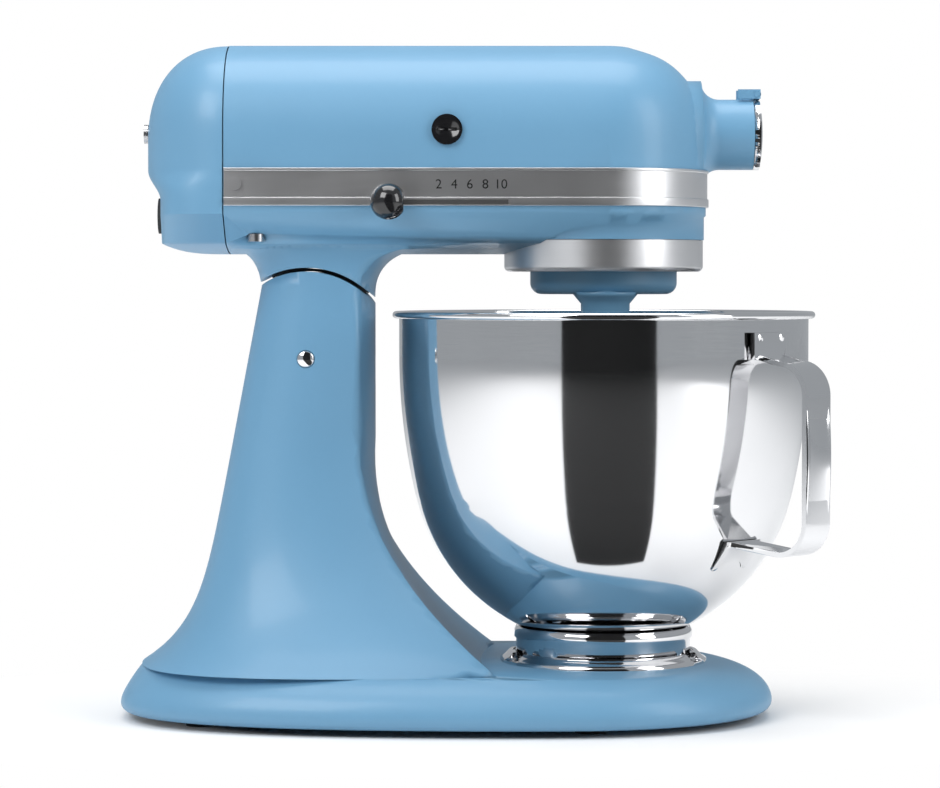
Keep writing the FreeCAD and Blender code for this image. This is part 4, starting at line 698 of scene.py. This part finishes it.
@dataclass
class Head(Assembly):
    """Head housing, covers, trim band and its numerals."""

    body: str = "head"
    band_z: tuple[float, float] = (273.3, 293.1)
    band_half: float = 61.0
    band_back: float = 0.1
    band_thick: float = 0.8
    bead_out: float = 1.5
    bead_round: float = 0.4
    low_bead: float = 4.5
    top_bead: float = 1.6
    slot_x: tuple[float, float] = (-118.0, -52.0)
    slot_y: tuple[float, float] = (-62.53, -62.3)
    slot_z: tuple[float, float] = (274.0, 276.5)
    nose: float = 55.0
    back: float = -200.3
    figures: tuple[str, ...] = ("2", "4", "6", "8", "10")
    figure_x: tuple[float, float] = (-88.3, -55.9)
    figure_z: float = 282.2
    figure_size: float = 7.0
    figure_depth: float = 0.02
    figure_out: float = 0.86
    cover_gap: float = 0.8
    cover_reach: float = 44.0
    box_reach: float = 36.0
    belly_z: float = 248.4
    chin: tuple[float, float] = (41.0, 254.0)
    flank_z: tuple[float, float] = (269.0, 308.0)
    crown_rise: float = 52.0
    crown_power: float = 2.25
    box_top_z: tuple[float, float] = (277.0, 293.0)
    box_power: float = 3.4
    dome_power: float = 2.0
    belly_fade: float = 0.6
    pin: tuple[float, float] = (-158.8, 192.8)
    seam_radii: tuple[float, float] = (46.5, 48.0)
    seam_sides: tuple[float, float] = (20.0, 26.0)
    seam_turn: tuple[float, float] = (48.0, 113.0)

    def band_section(self) -> np.ndarray:
        """The band's closed section: a tall lower bead, a thin flat strip and a narrow top bead.

        Returns:
            How far out and how high, one row each.
        """
        low, high = self.band_z
        turn = self.bead_round
        out = self.bead_out - turn
        edge, shelf = low + self.low_bead, high - self.top_bead
        outline = [
            [[self.band_back, low]],
            arc((out, low + turn), turn, -90, 0, 5),
            arc((out, edge - turn), turn, 0, 90, 5),
            [[self.band_thick, edge]],
            [[self.band_thick, shelf]],
            arc((out, shelf + turn), turn, -90, 0, 5),
            arc((out, high - turn), turn, 0, 90, 5),
            [[self.band_back, high]],
        ]
        return np.concatenate(outline)

    def band(self) -> Surface:
        """The band: its section carried along one flank, round the nose's half ellipse and back.

        Returns:
            The band's surface.
        """
        straight = np.linspace(self.back, 0.0, 40)[:-1]
        angle = np.linspace(-np.pi / 2, np.pi / 2, 120)
        round_part = np.stack([self.nose * np.cos(angle), self.band_half * np.sin(angle)], axis=-1)
        near = np.stack([straight, np.full(len(straight), -self.band_half)], axis=-1)
        line = np.concatenate([near, round_part, near[::-1] * np.array([1.0, -1.0])])
        step = np.gradient(line, axis=0)
        step /= np.linalg.norm(step, axis=1, keepdims=True)
        path = np.concatenate([line, np.zeros((len(line), 1))], axis=1)
        out = np.stack([step[:, 1], -step[:, 0], np.zeros(len(line))], axis=-1)
        up = np.tile([0.0, 0.0, 1.0], (len(line), 1))
        return Surface.sweep(path, out, up, self.band_section())

    def slot(self) -> Surface:
        """The lever's slot as a dark sunk strip on the lower bead: painted shade for the slot's shaded
        inside.

        Returns:
            The strip's surface.
        """
        x, y, z = self.slot_x, self.slot_y, self.slot_z
        near = np.array([[x[0], y[0], z[0]], [x[1], y[0], z[0]], [x[1], y[0], z[1]], [x[0], y[0], z[1]]])
        far = near + np.array([0.0, y[1] - y[0], 0.0])
        return Surface.grid(np.stack([far, near]), True).capped(4)

    def cover(self) -> Surface:
        """The rear cover: each level is half a superellipse. Its half width follows the head's section, its
        reach grows from the lower box to the dome above it, and the levels close at belly and crown.

        Returns:
            The cover's surface.
        """
        rise = np.linspace(0, np.pi / 2, 48)[1:]
        wide, (narrow, chin_z) = self.band_half, self.chin
        low, high = self.flank_z
        along = np.linspace(0, 1, 16)
        belly_half = np.linspace(5 * POLE, narrow, 16)
        belly = np.stack([belly_half, self.belly_z + (chin_z - self.belly_z) * along**2], axis=-1)
        chin = np.linspace([narrow, chin_z], [wide, low], 14)[1:]
        flank = np.linspace([wide, low], [wide, high], 40)[1:]
        bend = 2 / self.crown_power
        crown_z = high + self.crown_rise * np.sin(rise) ** bend
        crown = np.stack([wide * np.cos(rise) ** bend, crown_z], axis=-1)
        section = np.concatenate([belly, chin, flank, crown])
        half, level = section[:, :1], section[:, 1:]
        start, end = self.box_top_z
        share = np.clip((level - start) / (end - start), 0.0, 1.0)
        share = share * share * (3 - 2 * share)
        lower = self.box_reach * np.clip(half / narrow, 0.0, 1.0) ** self.belly_fade
        reach = lower + (self.cover_reach * half / wide - lower) * share
        power = self.box_power + (self.dome_power - self.box_power) * share
        angle = np.linspace(-np.pi / 2, np.pi / 2, 96)[None, :]
        c, s = np.cos(angle), np.sin(angle)
        x = self.back - self.cover_gap - reach * np.abs(c) ** (2 / power)
        y = half * np.sign(s) * np.abs(s) ** (2 / power)
        return Surface.grid(np.stack([x, y, np.broadcast_to(level, x.shape)], axis=-1), False)

    def seam(self, side: float) -> Surface:
        """Painted shade in the seam between neck and column: a dark piece where the seam's inside is in
        shade, a thin arc round the hinge pin.

        Args:
            side: which side of the tongue, one or minus one.

        Returns:
            The dark piece's surface.
        """
        (low, high), (near, far) = self.seam_radii, self.seam_sides
        edges = []
        for radius, across in ((low, near), (high, near), (high, far), (low, far)):
            line = arc(self.pin, radius, *self.seam_turn, 48)
            edges.append(np.insert(line, 1, side * across, axis=1))
        return Surface.grid(np.stack(edges, axis=1), True).capped(4)

    def numeral(self, text: str, x: float) -> None:
        """A printed figure on the band's near flank.

        Args:
            text: the figure.
            x: its middle, in millimetres of the drawing.
        """
        curve = bpy.data.curves.new("figure", "FONT")
        curve.body = text
        curve.size = self.figure_size * MM
        curve.align_x = "CENTER"
        curve.extrude = self.figure_depth * MM
        helper = bpy.data.objects.new("figure", curve)
        bpy.context.scene.collection.objects.link(helper)
        bpy.context.view_layer.update()
        mesh = bpy.data.meshes.new_from_object(helper.evaluated_get(bpy.context.evaluated_depsgraph_get()))
        bpy.data.objects.remove(helper)
        flat = np.empty(len(mesh.vertices) * 3)
        mesh.vertices.foreach_get("co", flat)
        flat = flat.reshape(-1, 3)
        place = np.array([x + BOWL_X, -(self.band_half + self.figure_out), self.figure_z]) * MM
        upright = np.stack([flat[:, 0], -flat[:, 2], flat[:, 1]], axis=-1)
        mesh.vertices.foreach_set("co", (upright + place).ravel())
        mesh.materials.clear()
        mesh.materials.append(self.palette.get(Finishes.INK))
        made = bpy.data.objects.new("figure_" + text, mesh)
        bpy.context.scene.collection.objects.link(made)
        self.fit(made)

    def build(self) -> None:
        """Build the cover, band, a dark strip of painted shade in the lever's slot, figures and dark pieces
        of painted shade in the seams, and dress the head's other nodes.
        """
        self.skin("head_housing", Finishes.PAINT, 30.0)
        self.fit(self.cover().make("cover_skin", self.palette.get(Finishes.PAINT)), "end_cover")
        self.fit(self.band().make("band_skin", self.palette.get(Finishes.BAND_STEEL)), "trim_band")
        # a dark strip in the plain plastic finish, painted shade in the lever's slot
        self.fit(self.slot().make("lever_slot", self.palette.get(Finishes.PLASTIC)))
        for i, text in enumerate(self.figures):
            share = i / (len(self.figures) - 1)
            self.numeral(text, self.figure_x[0] + (self.figure_x[1] - self.figure_x[0]) * share)
        # dark pieces in the rubber finish, painted shade in the seams between neck and column
        for side in (-1.0, 1.0):
            self.fit(self.seam(side).make("seam_shade_%d" % side, self.palette.get(Finishes.RUBBER)))
        self.skin("drip_ring", Finishes.BAND_STEEL)
        self.skin("brush_caps", Finishes.BLACK_GLOSS)
        self.dress(Finishes.PAINT, "hub_cover_hinge")
        self.dress(Finishes.BAND_STEEL, "trim_screws")
        self.dress(Finishes.RUBBER, "cord_gland")
        self.dress(Finishes.ALUMINIUM, "lower_gearcase", "bearing_brackets")
        self.dress(Finishes.BRONZE, "hub_bush", "centre_bush")
        self.dress(Finishes.IRON, "stator")
        self.dress(Finishes.PLASTIC, "carbon_brushes", "brush_holders")
        self.dress(Finishes.BOARD, "control_board")
        self.dress(
            Finishes.MACHINED, "neck_screws", "end_cover_screw", "gearcase_screws", "ring_gear",
            "motor_bearings",
        )


@dataclass
class Controls(Assembly):
    """Speed lever, hub cover and clamping knob."""

    facet_angle: float = 55.0
    dish_share: float = 0.95
    dish_step: float = 0.15
    dish_depth: float = 0.9

    def knob(self) -> Surface:
        """The lever's ball: an arc turned about its own middle, closed by a parabolic dish to the front.

        Returns:
            The ball's surface.
        """
        low, high = (np.array(corner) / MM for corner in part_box("speed_knob"))
        radius = (high[2] - low[2]) / 2
        ball = arc((0.0, 0.0), radius, -89.9, self.facet_angle, 48)
        rim = np.linspace(self.dish_share * ball[-1, 0], POLE, 14)
        sunk = self.dish_step + self.dish_depth * (1 - (rim / rim[0]) ** 2)
        dish = np.stack([rim, ball[-1, 1] - sunk], axis=-1)
        made = Surface.lathe(np.concatenate([ball, dish]), 64)
        middle = (low + high) / 2
        place = np.array([low[0] + radius - BOWL_X, middle[1], middle[2]])
        made.points = made.points[:, [2, 0, 1]] + place
        return made

    def build(self) -> None:
        """Dress the pieces that a hand works."""
        self.body = "speed"
        self.fit(self.knob().make("knob_ball", self.palette.get(Finishes.BLACK_GLOSS)), "speed_knob")
        self.dress(Finishes.MACHINED, "speed_lever")
        self.body = "cover"
        self.skin("hub_cover", Finishes.MIRROR_STEEL)
        self.body = "clamp_knob"
        self.skin("attachment_knob", Finishes.BLACK_GLOSS)


@dataclass
class Drive(Assembly):
    """Planetary, agitator, beater, gear train and motor."""

    def build(self) -> None:
        """Dress the drive line."""
        self.body = "planetary"
        self.skin("planetary_hub", Finishes.PAINT)
        self.body = "agitator"
        self.skin("flat_beater", Finishes.ALUMINIUM)
        self.skin("agitator_shaft", Finishes.MACHINED)
        self.dress(Finishes.BRONZE, "worm_wheel", "commutator")
        self.dress(Finishes.IRON, "armature_core")
        self.dress(Finishes.PLASTIC, "cooling_fan")
        self.dress(
            Finishes.MACHINED, "cross_pin", "planet_pinion", "centre_shaft", "centre_gear", "centre_bevel",
            "wheel_shaft", "drive_pinion", "hub_bevel", "hub_spindle", "armature_shaft",
        )


@dataclass(frozen=True)
class Lamp:
    """A soft box: where it stands, how large and how bright it is."""

    name: str
    place: tuple[float, float, float]
    size: tuple[float, float]
    power: float


@dataclass
class Studio:
    """Pale floor, dark panel behind the camera, soft boxes and camera."""

    distance: float = 1.8
    camera_height: float = 0.235
    aim_height: float = 0.173
    drawing_x: float = -72.0
    picture_width: float = 0.5076
    sensor: float = 36.0
    lamp_aim: float = 0.2
    floor_grey: float = 0.93
    floor_roughness: float = 0.6
    floor_x: tuple[float, float] = (-6.0, 6.0)
    floor_y: tuple[float, float] = (-4.0, 8.0)
    fade_start: float = 0.16
    fade_length: float = 0.22
    fade_stretch: tuple[float, float, float] = (1.0, 1.6, 1.0)
    sky: Colour = (0.9, 0.95, 1.0)
    sky_strength: float = 0.42
    dark: float = 0.01
    dark_roughness: float = 0.9
    panel_x: tuple[float, float] = (-1.03, 1.27)
    panel_y: float = -2.4
    panel_top: float = 2.6
    wedge_far: tuple[float, float, float] = (-1.1, 1.2, -2.39)
    wedge_near: tuple[float, float, float] = (-0.04, 0.05, -0.125)
    wedge_lift: float = 0.0005
    lamps: list[Lamp] = field(
        default_factory=lambda: [
            Lamp("key", (-1.0, -1.3, 1.5), (1.1, 1.1), 26.0),
            Lamp("fill", (1.5, -0.9, 0.9), (0.7, 1.4), 14.0),
            Lamp("top", (0.0, 0.1, 2.0), (1.6, 1.2), 26.0),
        ]
    )

    def black(self, name: str) -> bpy.types.Material:
        """A dull black stage material.

        Args:
            name: its name.

        Returns:
            The material.
        """
        graph = Graph(name)
        graph.shader.inputs["Base Color"].default_value = (self.dark, self.dark, self.dark, 1.0)
        graph.constant("Roughness", self.dark_roughness)
        return graph.material

    def ground(self) -> bpy.types.Material:
        """A pale floor that takes the object's shadow and fades to plain white for the camera farther out.

        Returns:
            The material.
        """
        graph = Graph("ground")
        grey = self.floor_grey
        graph.shader.inputs["Base Color"].default_value = (grey, grey, grey, 1.0)
        graph.constant("Roughness", self.floor_roughness)
        white = graph.node("ShaderNodeEmission")
        mix = graph.node("ShaderNodeMixShader")
        apart = graph.node("ShaderNodeVectorMath", operation="LENGTH")
        graph.feed(apart.inputs[0], graph.stretched(self.fade_stretch))
        seen = Value(graph, graph.node("ShaderNodeLightPath").outputs["Is Camera Ray"])
        away = Value(graph, apart.outputs["Value"])
        share = ((away - self.fade_start) / self.fade_length).clamp() * seen
        graph.feed(mix.inputs[0], share)
        graph.feed(mix.inputs[1], graph.shader.outputs[0])
        graph.feed(mix.inputs[2], white.outputs[0])
        output = [n for n in graph.tree.nodes if n.type == "OUTPUT_MATERIAL"][0]
        graph.feed(output.inputs[0], mix.outputs[0])
        return graph.material

    def card(self, name: str, corners: np.ndarray, material: bpy.types.Material) -> bpy.types.Object:
        """A flat stage card.

        Args:
            name: its name.
            corners: four corners in metres.
            material: its material.

        Returns:
            The card.
        """
        mesh = bpy.data.meshes.new(name)
        mesh.from_pydata(corners.tolist(), [], [(0, 1, 2, 3)])
        mesh.materials.append(material)
        made = bpy.data.objects.new(name, mesh)
        bpy.context.scene.collection.objects.link(made)
        return made

    def world(self) -> None:
        """White behind the object for the camera, and a softer white as light."""
        scene = bpy.context.scene
        scene.world = bpy.data.worlds.new("studio")
        scene.world.use_nodes = True
        tree = scene.world.node_tree
        tree.nodes.clear()
        path = tree.nodes.new("ShaderNodeLightPath")
        mix = tree.nodes.new("ShaderNodeMixShader")
        light = tree.nodes.new("ShaderNodeBackground")
        light.inputs["Color"].default_value = (*self.sky, 1.0)
        light.inputs["Strength"].default_value = self.sky_strength
        seen = tree.nodes.new("ShaderNodeBackground")
        seen.inputs["Color"].default_value = (1.0, 1.0, 1.0, 1.0)
        output = tree.nodes.new("ShaderNodeOutputWorld")
        tree.links.new(path.outputs["Is Camera Ray"], mix.inputs[0])
        tree.links.new(light.outputs[0], mix.inputs[1])
        tree.links.new(seen.outputs[0], mix.inputs[2])
        tree.links.new(mix.outputs[0], output.inputs[0])

    def shine(self, lamp: Lamp) -> None:
        """Add a soft box that faces the object.

        Args:
            lamp: the soft box.
        """
        data = bpy.data.lights.new(lamp.name, "AREA")
        data.shape = "RECTANGLE"
        data.size, data.size_y = lamp.size
        data.energy = lamp.power
        made = bpy.data.objects.new(lamp.name, data)
        made.location = lamp.place
        aim = Vector((0, 0, self.lamp_aim)) - Vector(lamp.place)
        made.rotation_euler = aim.to_track_quat("-Z", "Y").to_euler()
        bpy.context.scene.collection.objects.link(made)

    def camera(self) -> None:
        """Set the camera up as in the photo."""
        scene = bpy.context.scene
        data = bpy.data.cameras.new("camera")
        data.sensor_width = self.sensor
        data.lens = self.sensor * self.distance / self.picture_width
        made = bpy.data.objects.new("camera", data)
        x = (self.drawing_x + BOWL_X) * MM
        made.location = (x, -self.distance, self.camera_height)
        aim = Vector((x, 0.0, self.aim_height)) - made.location
        made.rotation_euler = aim.to_track_quat("-Z", "Y").to_euler()
        scene.collection.objects.link(made)
        scene.camera = made
        scene.view_settings.view_transform = "Standard"

    def build(self) -> None:
        """Build the whole studio."""
        (left, right), (front, back) = self.floor_x, self.floor_y
        floor = [(left, front, 0.0), (right, front, 0.0), (right, back, 0.0), (left, back, 0.0)]
        self.card("floor", np.array(floor), self.ground())
        axis = BOWL_X * MM
        far_left, far_right, far = self.wedge_far
        near_left, near_right, near = self.wedge_near
        wedge = [(far_left, far), (far_right, far), (near_right, near), (near_left, near)]
        dark = np.array([(axis + x, y, self.wedge_lift) for x, y in wedge])
        strip = self.card("wedge", dark, self.black("wedge"))
        # the strip shows only in the bowl's reflection
        strip.visible_camera = strip.visible_shadow = strip.visible_diffuse = False
        left, right = self.panel_x
        y, top = self.panel_y, self.panel_top
        panel = [(left, y, 0.0), (right, y, 0.0), (right, y, top), (left, y, top)]
        board = self.card("panel", np.array(panel), self.black("panel"))
        board.visible_camera = False
        self.world()
        for lamp in self.lamps:
            self.shine(lamp)
        self.camera()


def main() -> None:
    """Dress the mixer and set up the studio."""
    logging.basicConfig(level=logging.INFO)
    palette = Palette()
    for assembly in (Stand(palette), Bowl(palette), Head(palette), Controls(palette), Drive(palette)):
        assembly.build()
    Studio().build()


if __name__ == "__main__":
    main()
